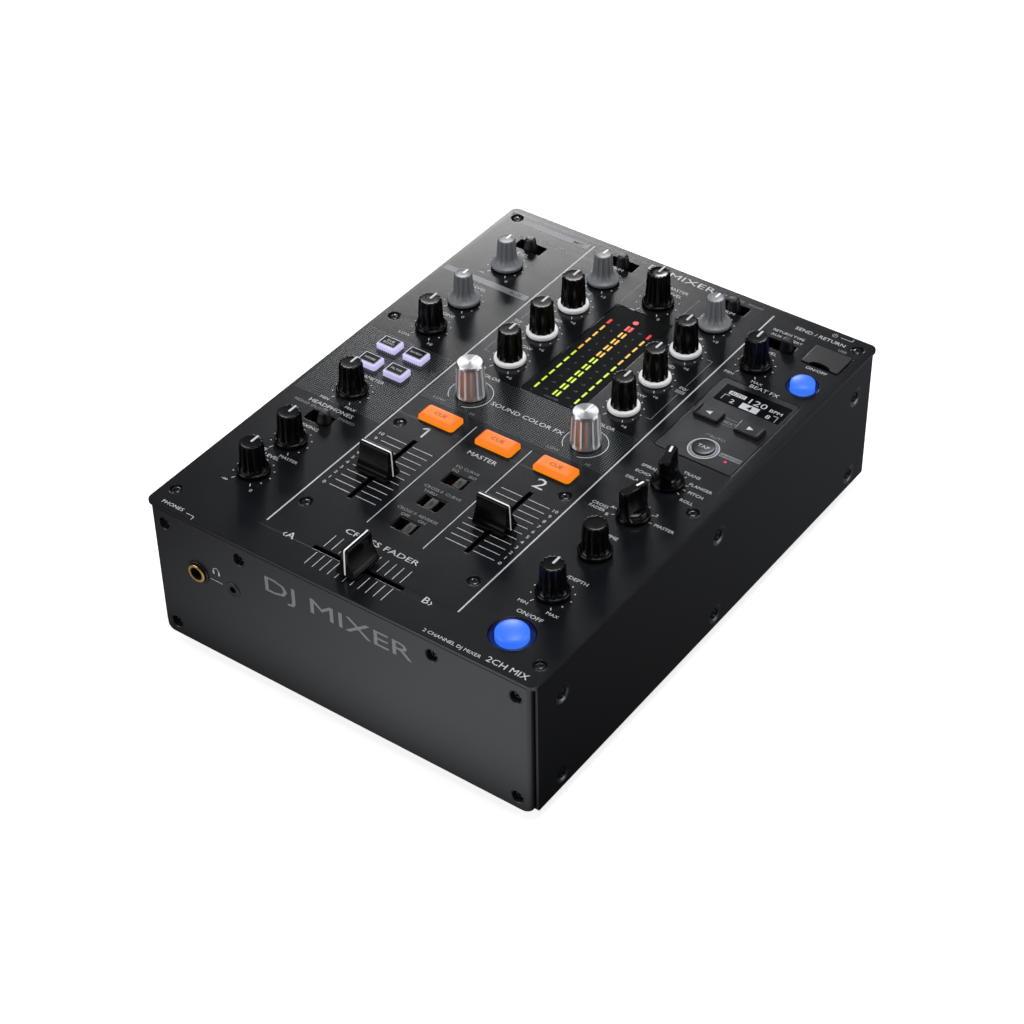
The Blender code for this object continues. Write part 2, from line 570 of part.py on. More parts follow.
def make_jack_board():
    """Upright board behind the back wall, carrying the audio sockets that reach through it."""
    frame = (0.0, PANEL_Y, FOOT_H)
    bm = bmesh.new()
    add_box(bm, (-108.0, JACK_BOARD_Y - BOARD_T, 6.0), (73.0, JACK_BOARD_Y, 64.0))
    board = new_object("jack_board", bm, "green_board", frame)
    parts = bmesh.new()
    base = JACK_BOARD_Y - 0.8
    wall = WALL_BACK_Y - base

    def socket(x, z, rings, sides=12):
        add_rod(parts, (x, base, z), (0, 1, 0), rings, sides)

    for x, z in [*XLR_PLACES, MIC_PLACE]:
        socket(x, z, [(0.0, XLR_R + 2.0), (wall + 1.0, XLR_R + 2.0)], 16)
    for x, z in JACK_PLACES:
        socket(x, z, [(0.0, 7.0), (wall - SHEET - 0.4, 7.0), (wall - SHEET - 0.4, 5.2), (wall + 3.0, 5.2)])
    for x, z in RCA_PLACES:
        socket(x, z, [(0.0, 5.0), (wall + 1.6, 5.0), (wall + 1.6, 4.15), (wall + 9.0, 4.15)], 8)
    post = PANEL_D / 2 + REAR_POST - base
    socket(*EARTH_PLACE, [(0.0, 3.0), (wall + 2.0, 3.0), (wall + 2.0, 2.2), (post - 7.0, 2.2),
                          (post - 7.0, 4.4), (post, 4.4)], 8)
    boolean(board, "UNION", cutter("join_sockets", parts, frame))

    holes = bmesh.new()

    def bore(x, z, depth, radius, reach, sides):
        start = (x, WALL_BACK_Y + reach - depth, z)
        add_rod(holes, start, (0, 1, 0), [(0.0, radius), (depth + 2.0, radius)], sides)

    for x, z in [*XLR_PLACES, MIC_PLACE]:
        bore(x, z, 14.0, XLR_R, 1.0, 16)
    for x, z in JACK_PLACES:
        bore(x, z, 18.0, 3.3, 3.0, 12)
    for x, z in RCA_PLACES:
        bore(x, z, 12.0, 1.7, 9.0, 6)
    boolean(board, "DIFFERENCE", cutter("cut_socket_bores", holes, frame))


def make_headphone_board():
    """Small board behind the front panel, with both headphone jacks on it."""
    frame = (0.0, PANEL_Y, FOOT_H)
    front = -PANEL_D / 2
    bm = bmesh.new()
    add_box(bm, (-98.0, -127.0, 34.0), (-52.0, -125.4, 63.0))
    board = new_object("headphone_jacks", bm, "green_board", frame)
    for (x, z), body, ring, reach in ((BIG_JACK, 8.0, 5.4, FRONT_RING), (SMALL_JACK, 5.0, 4.1, 0.2)):
        parts = bmesh.new()
        add_box(parts, (x - body, front + FRONT_T + 0.4, z - body), (x + body, -126.2, z + body))
        nose = FRONT_T + 1.0
        add_rod(parts, (x, front + nose, z), (0, -1, 0), [(0.0, ring), (nose + reach, ring)], 16)
        boolean(board, "UNION", cutter(f"join_headphone_jack_{round(ring)}", parts, frame))
    holes = bmesh.new()
    for (x, z), radius, depth in ((BIG_JACK, 3.3, 20.0), (SMALL_JACK, 1.9, 14.0)):
        add_rod(holes, (x, front - 3.0, z), (0, 1, 0), [(0.0, radius), (depth + 3.0, radius)], 16)
    boolean(board, "DIFFERENCE", cutter("cut_headphone_bores", holes, frame))


def make_power_button():
    """Push button in the back wall, on a stem that reaches its switch."""
    x, z = POWER_PLACE
    bm = bmesh.new()
    back = WALL_BACK_Y + 2.6
    add_rod(bm, (0.0, 0.0, 0.0), (0, 1, 0),
            [(-14.0, 3.0), (-5.6, 3.0), (-5.6, 7.0), (-4.5, 7.0), (-4.5, 5.9), (-0.5, 5.9), (0.0, 5.3)], 14)
    new_object("power_button", bm, "black_knob", (x, PANEL_Y + back, FOOT_H + z))


# ---------------------------------------------------------------- assembly
def main():
    for old in list(bpy.data.objects):
        bpy.data.objects.remove(old, do_unlink=True)
    make_top_panel()
    make_windows()
    make_usb_lid()
    make_front_panel()
    make_case()
    make_feet()
    make_control_board()
    make_power_board()
    make_jack_board()
    make_headphone_board()
    make_power_button()
    make_knobs()
    make_selectors()
    make_buttons()
    make_switch_levers()
    make_fader("ch1_fader", CENTRE_X - STRIP_X, CAP_Y, True)
    make_fader("ch2_fader", CENTRE_X + STRIP_X, CAP_Y, True)
    make_fader("crossfader", CENTRE_X, CROSS_Y, False)


main()
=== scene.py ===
# %% [markdown]
# # A compact two-channel DJ mixer
#
# The mixer is a flat steel box. A black top plate carries knobs, faders, buttons and
# printing; the front panel carries two headphone sockets; the other sockets are in the
# back wall. The frame that is loaded here gives every part its size and place. This
# lesson gives each part the fine shape and the finish that the real one has.
#
# Every shape is drawn in millimetres on the face it belongs to: x to the right, y up
# or away from the player, z out of the face. One matrix for each face puts it in place.

# %% Load the frame
import math

import bmesh
import bpy
from mathutils import Matrix, Vector


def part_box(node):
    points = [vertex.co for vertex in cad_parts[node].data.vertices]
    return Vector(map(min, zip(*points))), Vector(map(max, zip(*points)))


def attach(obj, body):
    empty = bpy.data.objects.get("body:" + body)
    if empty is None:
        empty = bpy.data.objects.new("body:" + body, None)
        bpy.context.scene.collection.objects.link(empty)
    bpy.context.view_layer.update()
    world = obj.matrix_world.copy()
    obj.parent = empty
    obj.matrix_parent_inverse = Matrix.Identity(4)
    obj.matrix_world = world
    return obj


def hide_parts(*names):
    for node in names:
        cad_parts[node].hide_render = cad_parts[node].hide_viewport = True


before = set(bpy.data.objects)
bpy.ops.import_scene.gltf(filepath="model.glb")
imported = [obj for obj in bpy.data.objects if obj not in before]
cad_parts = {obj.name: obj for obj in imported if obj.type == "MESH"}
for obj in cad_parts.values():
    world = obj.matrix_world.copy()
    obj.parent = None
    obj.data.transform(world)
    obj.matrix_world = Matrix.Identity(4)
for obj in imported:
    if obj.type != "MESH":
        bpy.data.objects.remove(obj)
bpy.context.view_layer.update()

# %% [markdown]
# ## The faces of the box
#
# Reading the faces from the frame keeps each piece where the working parts are. A face
# could also be an empty that its pieces are parented to, but a piece whose place is in
# its mesh bakes and exports without surprises, so a plain matrix is enough.

# %% Find the faces
MM = 0.001
plate_low, plate_high = (Vector(c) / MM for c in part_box("top_panel"))
front_low, front_high = (Vector(c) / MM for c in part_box("front_panel"))
case_low, case_high = (Vector(c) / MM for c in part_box("case"))
PLATE_HX = (plate_high.x - plate_low.x) / 2
PLATE_HY = (plate_high.y - plate_low.y) / 2
PLATE_Y = (plate_high.y + plate_low.y) / 2
PLATE_T = plate_high.z - plate_low.z


def face(across, up, out, x, y, z):
    """The matrix of a face: its three directions as columns, and its origin."""
    turn = Matrix((across, up, out)).transposed().to_4x4()
    return Matrix.Translation((x, y, z)) @ turn


BOTTOM_Z = front_low.z
PLATE = face((1, 0, 0), (0, 1, 0), (0, 0, 1), 0, PLATE_Y, plate_high.z)
FRONT = face((1, 0, 0), (0, 0, 1), (0, -1, 0), 0, front_low.y, BOTTOM_Z)
BACK = face((-1, 0, 0), (0, 0, 1), (0, 1, 0), 0, case_high.y, BOTTOM_Z)
RIGHT = face((0, 1, 0), (0, 0, 1), (1, 0, 0), case_high.x, PLATE_Y, BOTTOM_Z)
LEFT = face((0, -1, 0), (0, 0, 1), (-1, 0, 0), case_low.x, PLATE_Y, BOTTOM_Z)
BELOW = face((-1, 0, 0), (0, 1, 0), (0, 0, -1), 0, PLATE_Y, case_low.z)


def spot(node):
    """Where the middle of a node lies on the top plate."""
    low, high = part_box(node)
    middle = (Vector(low) + Vector(high)) / 2 / MM
    return middle.x, middle.y - PLATE_Y


print("plate", round(2 * PLATE_HX, 1), "by", round(2 * PLATE_HY, 1), "mm, thick", round(PLATE_T, 2))

# %% [markdown]
# ## Small shapes that everything is drawn from
#
# A loft joins loops of points with a skin. A turned shape is a loft of circles, and a
# moulded block is a loft of rounded rectangles that shrink a little near an edge, which
# gives the soft edge that real plastic has. Bevel modifiers could soften the edges too,
# but a loft puts the faces exactly where the light needs them, with far fewer of them.

# %% Lofts, turned shapes and blocks


def circle(r, z=0.0, sides=48, cx=0.0, cy=0.0):
    angles = [2 * math.pi * i / sides for i in range(sides)]
    return [(cx + r * math.cos(a), cy + r * math.sin(a), z) for a in angles]


def rounded(hx, hy, r, z=0.0, cx=0.0, cy=0.0, steps=5):
    """A rectangle with round corners, anticlockwise."""
    points = []
    for quarter, (sx, sy) in enumerate(((1, 1), (-1, 1), (-1, -1), (1, -1))):
        for i in range(steps + 1):
            a = math.pi / 2 * (quarter + i / steps)
            points.append((cx + sx * (hx - r) + r * math.cos(a),
                           cy + sy * (hy - r) + r * math.sin(a), z))
    return points


def loft(bm, loops, material=0):
    """A closed skin through loops of equal length, with both ends filled."""
    rings = [[bm.verts.new(p) for p in loop] for loop in loops]
    faces = []
    for low, high in zip(rings, rings[1:]):
        for i, start in enumerate(low):
            j = (i + 1) % len(low)
            faces.append(bm.faces.new((start, low[j], high[j], high[i])))
    faces += [bm.faces.new(rings[0][::-1]), bm.faces.new(rings[-1])]
    for made in faces:
        made.material_index = material
    return rings


def turned(bm, profile, material=0, sides=48, cx=0.0, cy=0.0):
    """A shape turned on a lathe: the profile lists (height, radius)."""
    return loft(bm, [circle(r, z, sides, cx, cy) for z, r in profile], material)


def block(bm, hx, hy, r, levels, material=0, cx=0.0, cy=0.0, steps=5):
    """A moulded block: levels list (height, how far the outline has shrunk)."""
    loops = [rounded(hx - s, hy - s, max(r - s, 0.05), z, cx, cy, steps) for z, s in levels]
    return loft(bm, loops, material)


def soft_edge(low, high, edge):
    """Levels of a block with a soft top edge."""
    return [(low, 0.0), (high - edge, 0.0), (high - 0.3 * edge, 0.3 * edge), (high, edge)]


print("a knob-sized circle has", len(circle(6.0)), "points")

# %% [markdown]
# ## From a drawing to a piece
#
# `make_piece` finishes every drawing the same way: it merges doubled points, turns the
# faces outwards, scales millimetres to metres, parents the piece to the body it rides on
# and hides the plain parts it stands for.

# %% Finish a piece


def make_piece(bm, name, materials, place=PLATE, body="housing", stands_for=(), crease=35):
    bmesh.ops.remove_doubles(bm, verts=bm.verts, dist=0.0004)
    bmesh.ops.dissolve_degenerate(bm, edges=bm.edges, dist=0.0002)
    bmesh.ops.recalc_face_normals(bm, faces=bm.faces)
    bm.transform(Matrix.Scale(MM, 4) @ place)
    mesh = bpy.data.meshes.new(name)
    bm.to_mesh(mesh)
    bm.free()
    for material in materials:
        mesh.materials.append(material)
    mesh.shade_smooth()
    mesh.set_sharp_from_angle(angle=math.radians(crease))
    piece = bpy.data.objects.new(name, mesh)
    bpy.context.scene.collection.objects.link(piece)
    leaning = piece.modifiers.new("weighted", "WEIGHTED_NORMAL")
    leaning.keep_sharp = True
    piece.data = bpy.data.meshes.new_from_object(piece.evaluated_get(bpy.context.evaluated_depsgraph_get()))
    piece.modifiers.clear()
    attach(piece, body)
    if stands_for:
        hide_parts(*stands_for)
    return piece


def at(x, y, z=0.0, turn=0.0, place=PLATE):
    """A place on a face, turned by so many degrees."""
    return place @ Matrix.Translation((x, y, z)) @ Matrix.Rotation(math.radians(turn), 4, "Z")


def evaluated_mesh(obj):
    """The object as its modifiers or its curve make it, as a plain mesh."""
    seen = obj.evaluated_get(bpy.context.evaluated_depsgraph_get())
    mesh = bpy.data.meshes.new_from_object(seen)
    bpy.data.objects.remove(obj)
    return mesh


# %% [markdown]
# ## Sheets with holes
#
# Steel panels are punched from sheet. A filled flat curve does the same: its outer loop
# is the blank, its inner loops are the punched holes, and a small bevel breaks the edges
# as tumbling does. Boolean cuts would work as well, but each hole would need a cutter.

# %% Punch a sheet


def punched_sheet(bm, outline, holes, thickness, edge=0.25):
    """Adds a sheet whose outer face lies at z = 0."""
    curve = bpy.data.curves.new("sheet", "CURVE")
    curve.dimensions = "2D"
    curve.fill_mode = "BOTH"
    curve.extrude = thickness / 2 - edge
    curve.bevel_depth = edge
    curve.offset = -edge
    curve.bevel_resolution = 1
    for loop in (outline, *holes):
        spline = curve.splines.new("POLY")
        spline.points.add(len(loop) - 1)
        spline.use_cyclic_u = True
        for point, co in zip(spline.points, loop):
            point.co = (co[0], co[1], 0.0, 1.0)
    sheet = bpy.data.objects.new("sheet", curve)
    bpy.context.scene.collection.objects.link(sheet)
    mesh = evaluated_mesh(sheet)
    mesh.transform(Matrix.Translation((0, 0, -thickness / 2)))
    bm.from_mesh(mesh)


# %% [markdown]
# ## Lettering
#
# Panel lettering is screen-printed ink that stands about a twentieth of a millimetre
# above the paint. A text curve with that much extrusion becomes a mesh here, so the ink
# is real geometry. An image of the lettering would blur when someone looks closely.

# %% Print lettering
INK = 0.05            # thickness of a printed layer
CAP_SHARE = 0.72      # height of a capital letter as a share of the text size


def letters(bm, text, x, y, cap, material=0, z=0.0, align="CENTER", turn=0.0, bold=0.0, wide=1.15):
    """Adds text whose capitals are `cap` millimetres tall, middled on y."""
    curve = bpy.data.curves.new("lettering", "FONT")
    curve.body = text
    curve.size = cap / CAP_SHARE
    curve.align_x = align
    curve.resolution_u = 2
    curve.extrude = INK / 2
    curve.offset = bold * cap
    label = bpy.data.objects.new("lettering", curve)
    bpy.context.scene.collection.objects.link(label)
    mesh = evaluated_mesh(label)
    stretch = Matrix.Diagonal((wide, 1.0, 1.0, 1.0))
    middle = Matrix.Translation((0, -cap / 2, 0))
    place = Matrix.Translation((x, y, z + INK / 2)) @ Matrix.Rotation(math.radians(turn), 4, "Z")
    mesh.transform(place @ stretch @ middle)
    for polygon in mesh.polygons:
        polygon.material_index = material
    bm.from_mesh(mesh)


def bar(bm, x, y, hx, hy, material=0, z=0.0, thick=INK, r=0.15, turn=0.0):
    """A printed bar or box of solid ink."""
    spin = Matrix.Rotation(math.radians(turn), 3, "Z")
    loops = []
    for height in (z, z + thick):
        loop = [spin @ Vector(p) for p in rounded(hx, hy, min(r, hx, hy), 0.0, steps=2)]
        loops.append([(x + p.x, y + p.y, height) for p in loop])
    loft(bm, loops, material)


def stroke(bm, points, width, material=0, z=0.0, thick=INK):
    """A printed line through the given points."""
    for (x0, y0), (x1, y1) in zip(points, points[1:]):
        length = math.hypot(x1 - x0, y1 - y0)
        turn = math.degrees(math.atan2(y1 - y0, x1 - x0))
        bar(bm, (x0 + x1) / 2, (y0 + y1) / 2, (length + width) / 2, width / 2, material, z, thick,
            width / 2, turn)


print("ink stands", INK, "mm above the paint")

# %% [markdown]
# ## Node trees for what repeats
#
# Marks, lamps, screws, dots and flutes repeat by rule, so Geometry Nodes make them. Each
# tree has named inputs for its sizes. A tree runs once on a seed mesh, and what it makes
# is kept as a plain mesh, since a live modifier would not survive outside Blender.

# %% Build and run node trees


def add(tree, kind, values=None, **settings):
    """A node whose inputs are constants or other nodes' sockets."""
    made = tree.nodes.new(kind)
    for key, value in settings.items():
        setattr(made, key, value)
    for key, value in (values or {}).items():
        if isinstance(value, bpy.types.NodeSocket):
            tree.links.new(value, made.inputs[key])
        else:
            made.inputs[key].default_value = value
    return made


def sums(tree, operation, *values):
    """One maths node, returned as its output socket."""
    return add(tree, "ShaderNodeMath", dict(enumerate(values)), operation=operation).outputs[0]


def new_tree(name, sizes):
    """A geometry tree with named inputs, and its two end nodes."""
    tree = bpy.data.node_groups.new(name, "GeometryNodeTree")
    tree.interface.new_socket("Geometry", in_out="INPUT", socket_type="NodeSocketGeometry")
    tree.interface.new_socket("Geometry", in_out="OUTPUT", socket_type="NodeSocketGeometry")
    for label, kind in sizes.items():
        tree.interface.new_socket(label, in_out="INPUT", socket_type=f"NodeSocket{kind}")
    return tree, tree.nodes.new("NodeGroupInput"), tree.nodes.new("NodeGroupOutput")


def finish_tree(tree, end, geometry, material):
    real = add(tree, "GeometryNodeRealizeInstances", {"Geometry": geometry})
    coated = add(tree, "GeometryNodeSetMaterial", {"Geometry": real.outputs[0], "Material": material})
    tree.links.new(coated.outputs[0], end.inputs[0])


def grow(seed, tree, **values):
    """Runs a tree on a seed mesh and returns the plain mesh it makes."""
    carrier = bpy.data.objects.new("carrier", seed)
    bpy.context.scene.collection.objects.link(carrier)
    step = carrier.modifiers.new("tree", "NODES")
    step.node_group = tree
    for socket in tree.interface.items_tree:
        if socket.in_out == "INPUT" and socket.name in values:
            step[socket.identifier] = values[socket.name]
    made = bpy.data.meshes.new_from_object(
        carrier.evaluated_get(bpy.context.evaluated_depsgraph_get()))
    carrier.modifiers.remove(step)
    bpy.data.objects.remove(carrier)
    return made


def points_mesh(points):
    """A seed mesh of loose points."""
    mesh = bpy.data.meshes.new("points")
    mesh.from_pydata([tuple(p) + (0.0,) * (3 - len(p)) for p in points], [], [])
    return mesh


def add_mesh(bm, mesh, material=0, place=None):
    """Pours a plain mesh into a drawing, all of it in one material."""
    if place is not None:
        mesh.transform(place)
    for polygon in mesh.polygons:
        polygon.material_index = material
    bm.from_mesh(mesh)


# %% [markdown]
# ### One mark, many places
#
# Ticks round a knob, fader lines, lamp segments and the fine dot pattern are all one
# small solid set out in a ring or in rows. The mark's number of sides chooses a
# rectangle (4) or a dot (8 or more).

# %% Rings and rows of marks


def marker(tree, sizes):
    """The solid of one mark, lying on z = 0."""
    sides = sizes["Sides"]
    half_turn = sums(tree, "DIVIDE", math.pi, sides)
    radius = sums(tree, "DIVIDE", 0.5, sums(tree, "COSINE", half_turn))
    disc = add(tree, "GeometryNodeMeshCircle", {"Vertices": sides, "Radius": radius}, fill_type="NGON")
    turn = add(tree, "ShaderNodeCombineXYZ", {"Z": half_turn})
    size = add(tree, "ShaderNodeCombineXYZ", {"X": sizes["Length"], "Y": sizes["Width"], "Z": 1.0})
    spun = add(tree, "GeometryNodeTransform", {"Geometry": disc.outputs[0], "Rotation": turn.outputs[0]})
    flat = add(tree, "GeometryNodeTransform", {"Geometry": spun.outputs[0], "Scale": size.outputs[0]})
    lift = add(tree, "GeometryNodeExtrudeMesh", {"Mesh": flat.outputs[0],
                                                 "Offset Scale": sizes["Thickness"], "Individual": False})
    under = add(tree, "GeometryNodeFlipFaces", {"Mesh": flat.outputs[0]})
    whole = add(tree, "GeometryNodeJoinGeometry")
    tree.links.new(lift.outputs[0], whole.inputs[0])
    tree.links.new(under.outputs[0], whole.inputs[0])
    return whole.outputs[0]


MARK_SIZES = {"Sides": "Int", "Length": "Float", "Width": "Float", "Thickness": "Float"}


def ring_tree():
    sizes = {**MARK_SIZES, "Count": "Int", "Radius": "Float", "First": "Float", "Step": "Float",
             "Material": "Material"}
    tree, start, end = new_tree("marks_in_a_ring", sizes)
    number = add(tree, "GeometryNodeInputIndex").outputs[0]
    angle = sums(tree, "ADD", start.outputs["First"], sums(tree, "MULTIPLY", number, start.outputs["Step"]))
    across = sums(tree, "MULTIPLY", sums(tree, "COSINE", angle), start.outputs["Radius"])
    up = sums(tree, "MULTIPLY", sums(tree, "SINE", angle), start.outputs["Radius"])
    spot_on_ring = add(tree, "ShaderNodeCombineXYZ", {"X": across, "Y": up})
    line = add(tree, "GeometryNodeMeshLine", {"Count": start.outputs["Count"]})
    ring = add(tree, "GeometryNodeSetPosition", {"Geometry": line.outputs[0],
                                                 "Position": spot_on_ring.outputs[0]})
    facing = add(tree, "ShaderNodeCombineXYZ", {"Z": angle})
    marks = add(tree, "GeometryNodeInstanceOnPoints",
                {"Points": ring.outputs[0], "Instance": marker(tree, start.outputs),
                 "Rotation": facing.outputs[0]})
    rings = add(tree, "GeometryNodeInstanceOnPoints",
                {"Points": start.outputs["Geometry"], "Instance": marks.outputs[0]})
    finish_tree(tree, end, rings.outputs[0], start.outputs["Material"])
    return tree


def rows_tree():
    sizes = {**MARK_SIZES, "Columns": "Int", "Rows": "Int", "Pitch across": "Float", "Pitch up": "Float",
             "Material": "Material"}
    tree, start, end = new_tree("marks_in_rows", sizes)
    spans = []
    for count, pitch in (("Columns", "Pitch across"), ("Rows", "Pitch up")):
        gaps = sums(tree, "SUBTRACT", start.outputs[count], 1.0)
        spans.append(sums(tree, "MULTIPLY", gaps, start.outputs[pitch]))
    grid = add(tree, "GeometryNodeMeshGrid",
               {"Size X": spans[0], "Size Y": spans[1],
                "Vertices X": start.outputs["Columns"], "Vertices Y": start.outputs["Rows"]})
    marks = add(tree, "GeometryNodeInstanceOnPoints",
                {"Points": grid.outputs[0], "Instance": marker(tree, start.outputs)})
    rows = add(tree, "GeometryNodeInstanceOnPoints",
               {"Points": start.outputs["Geometry"], "Instance": marks.outputs[0]})
    finish_tree(tree, end, rows.outputs[0], start.outputs["Material"])
    return tree


RINGS, ROWS = ring_tree(), rows_tree()


def ring_of_marks(bm, points, count, radius, first, step, length, width, material=0, sides=8, z=0.0):
    mesh = grow(points_mesh(points), RINGS, Sides=sides, Length=length, Width=width, Thickness=INK,
                Count=count, Radius=radius, First=math.radians(first), Step=math.radians(step))
    add_mesh(bm, mesh, material, Matrix.Translation((0, 0, z)))


def rows_of_marks(bm, points, columns, rows, across, up, length, width, material=0, sides=4, z=0.0,
                  thick=INK):
    mesh = grow(points_mesh(points), ROWS, Sides=sides, Length=length, Width=width, Thickness=thick,
                Columns=columns, Rows=rows, **{"Pitch across": across, "Pitch up": up})
    add_mesh(bm, mesh, material, Matrix.Translation((0, 0, z)))


trial = bmesh.new()
ring_of_marks(trial, [(0, 0)], 11, 10.0, -60, 30, 0.9, 0.9)
print("a ring of 11 dots has", len(trial.faces), "faces")
trial.free()

# %% [markdown]
# ### Flutes on a knob
#
# The grip of a knob is moulded with hollow flutes between narrow ridges. The tree pulls
# each point of a turned shape towards the axis by a rounded wave of its angle, as far as
# the point's own "flute" value allows, so skirt and top stay round. Cutting each flute
# with a Boolean would cost far more faces and leave shading marks.

# %% Flute a turned shape


def flute_tree():
    tree, start, end = new_tree("flutes", {"Flutes": "Float", "Depth": "Float", "Material": "Material"})
    place = add(tree, "GeometryNodeInputPosition").outputs[0]
    split = add(tree, "ShaderNodeSeparateXYZ", {0: place}).outputs
    angle = sums(tree, "ARCTAN2", split["Y"], split["X"])
    half = sums(tree, "MULTIPLY", angle, sums(tree, "MULTIPLY", start.outputs["Flutes"], 0.5))
    hollow = sums(tree, "ABSOLUTE", sums(tree, "COSINE", half))
    allowed = add(tree, "GeometryNodeInputNamedAttribute", {"Name": "flute"}, data_type="FLOAT").outputs[0]
    depth = sums(tree, "MULTIPLY", sums(tree, "MULTIPLY", hollow, allowed), start.outputs["Depth"])
    flat = add(tree, "ShaderNodeCombineXYZ", {"X": split["X"], "Y": split["Y"]}).outputs[0]
    outward = add(tree, "ShaderNodeVectorMath", {0: flat}, operation="NORMALIZE").outputs[0]
    inward = add(tree, "ShaderNodeVectorMath", {0: outward, "Scale": sums(tree, "MULTIPLY", depth, -1.0)},
                 operation="SCALE").outputs[0]
    moved = add(tree, "GeometryNodeSetPosition", {"Geometry": start.outputs[0], "Offset": inward})
    finish_tree(tree, end, moved.outputs[0], start.outputs["Material"])
    return tree


FLUTES = flute_tree()


def fluted(profile, flutes, depth, steps=8):
    """A turned and fluted mesh: the profile lists (height, radius, flute value)."""
    bm = bmesh.new()
    layer = bm.verts.layers.float.new("flute")
    sides = flutes * steps
    rings = loft(bm, [circle(r, z, sides) for z, r, _ in profile])
    for ring, (_, _, value) in zip(rings, profile):
        for vertex in ring:
            vertex[layer] = value
    seed = bpy.data.meshes.new("turned")
    bm.to_mesh(seed)
    bm.free()
    return grow(seed, FLUTES, Flutes=float(flutes), Depth=depth)


print("flutes ready")

# %% [markdown]
# # Finishes
#
# Each finish is a Principled material whose colour, roughness and fine relief come from
# nodes on Object coordinates. Two effects serve many finishes, so each is a node group:
# the fine grain of paint or moulded plastic, and the marks that handling leaves.

# %% Shared effects


def tone(red, green, blue):
    """A display colour, 0 to 255, as the linear colour that a shader needs."""
    shares = [c / 255 for c in (red, green, blue)]
    return tuple(c / 12.92 if c <= 0.04045 else ((c + 0.055) / 1.055) ** 2.4 for c in shares) + (1.0,)


def shader_group(name, sockets_in, sockets_out):
    tree = bpy.data.node_groups.new(name, "ShaderNodeTree")
    for label, kind in sockets_in.items():
        tree.interface.new_socket(label, in_out="INPUT", socket_type=f"NodeSocket{kind}")
    for label in sockets_out:
        tree.interface.new_socket(label, in_out="OUTPUT", socket_type="NodeSocketFloat")
    return tree, tree.nodes.new("NodeGroupInput").outputs, tree.nodes.new("NodeGroupOutput").inputs


def grain_group():
    """Fine relief of paint or plastic, and the broad, faint drift of its colour."""
    tree, given, out = shader_group("surface_grain", {"Vector": "Vector", "Grain": "Float",
                                                      "Patch": "Float"}, ("Height", "Drift"))
    fine = add(tree, "ShaderNodeTexNoise", {"Vector": given["Vector"], "Scale": given["Grain"],
                                            "Detail": 2.0, "Roughness": 0.6})
    broad = add(tree, "ShaderNodeTexNoise", {"Vector": given["Vector"], "Scale": given["Patch"],
                                             "Detail": 3.0, "Roughness": 0.5})
    tree.links.new(fine.outputs[0], out["Height"])
    tree.links.new(broad.outputs[0], out["Drift"])
    return tree


def handling_group():
    """Smudges from fingers, and short fine scratches, both from 0 to 1."""
    tree, given, out = shader_group("handling_marks", {"Vector": "Vector", "Smudge size": "Float",
                                                       "Scratch size": "Float"}, ("Smudge", "Scratch"))
    cloud = add(tree, "ShaderNodeTexNoise", {"Vector": given["Vector"], "Scale": given["Smudge size"],
                                             "Detail": 4.0, "Roughness": 0.62, "Distortion": 0.4})
    soft = add(tree, "ShaderNodeMapRange", {"Value": cloud.outputs[0], "From Min": 0.42, "From Max": 0.68})
    lean = add(tree, "ShaderNodeMapping", {"Vector": given["Vector"], "Rotation": (0.2, 0.3, 0.7),
                                           "Scale": (1.0, 0.04, 0.4)})
    hair = add(tree, "ShaderNodeTexNoise", {"Vector": lean.outputs[0], "Scale": given["Scratch size"],
                                            "Detail": 1.0})
    thin = add(tree, "ShaderNodeMapRange", {"Value": hair.outputs[0], "From Min": 0.70, "From Max": 0.78})
    tree.links.new(soft.outputs[0], out["Smudge"])
    tree.links.new(thin.outputs[0], out["Scratch"])
    return tree


GRAIN, HANDLING = grain_group(), handling_group()

# %% [markdown]
# A finish is described by its colour, a second colour that it drifts towards, how shiny
# it is, how much smudges change that, and the size and height of its grain. Metallic,
# specular and coat are plain numbers on the shader itself.

# %% Make a finish


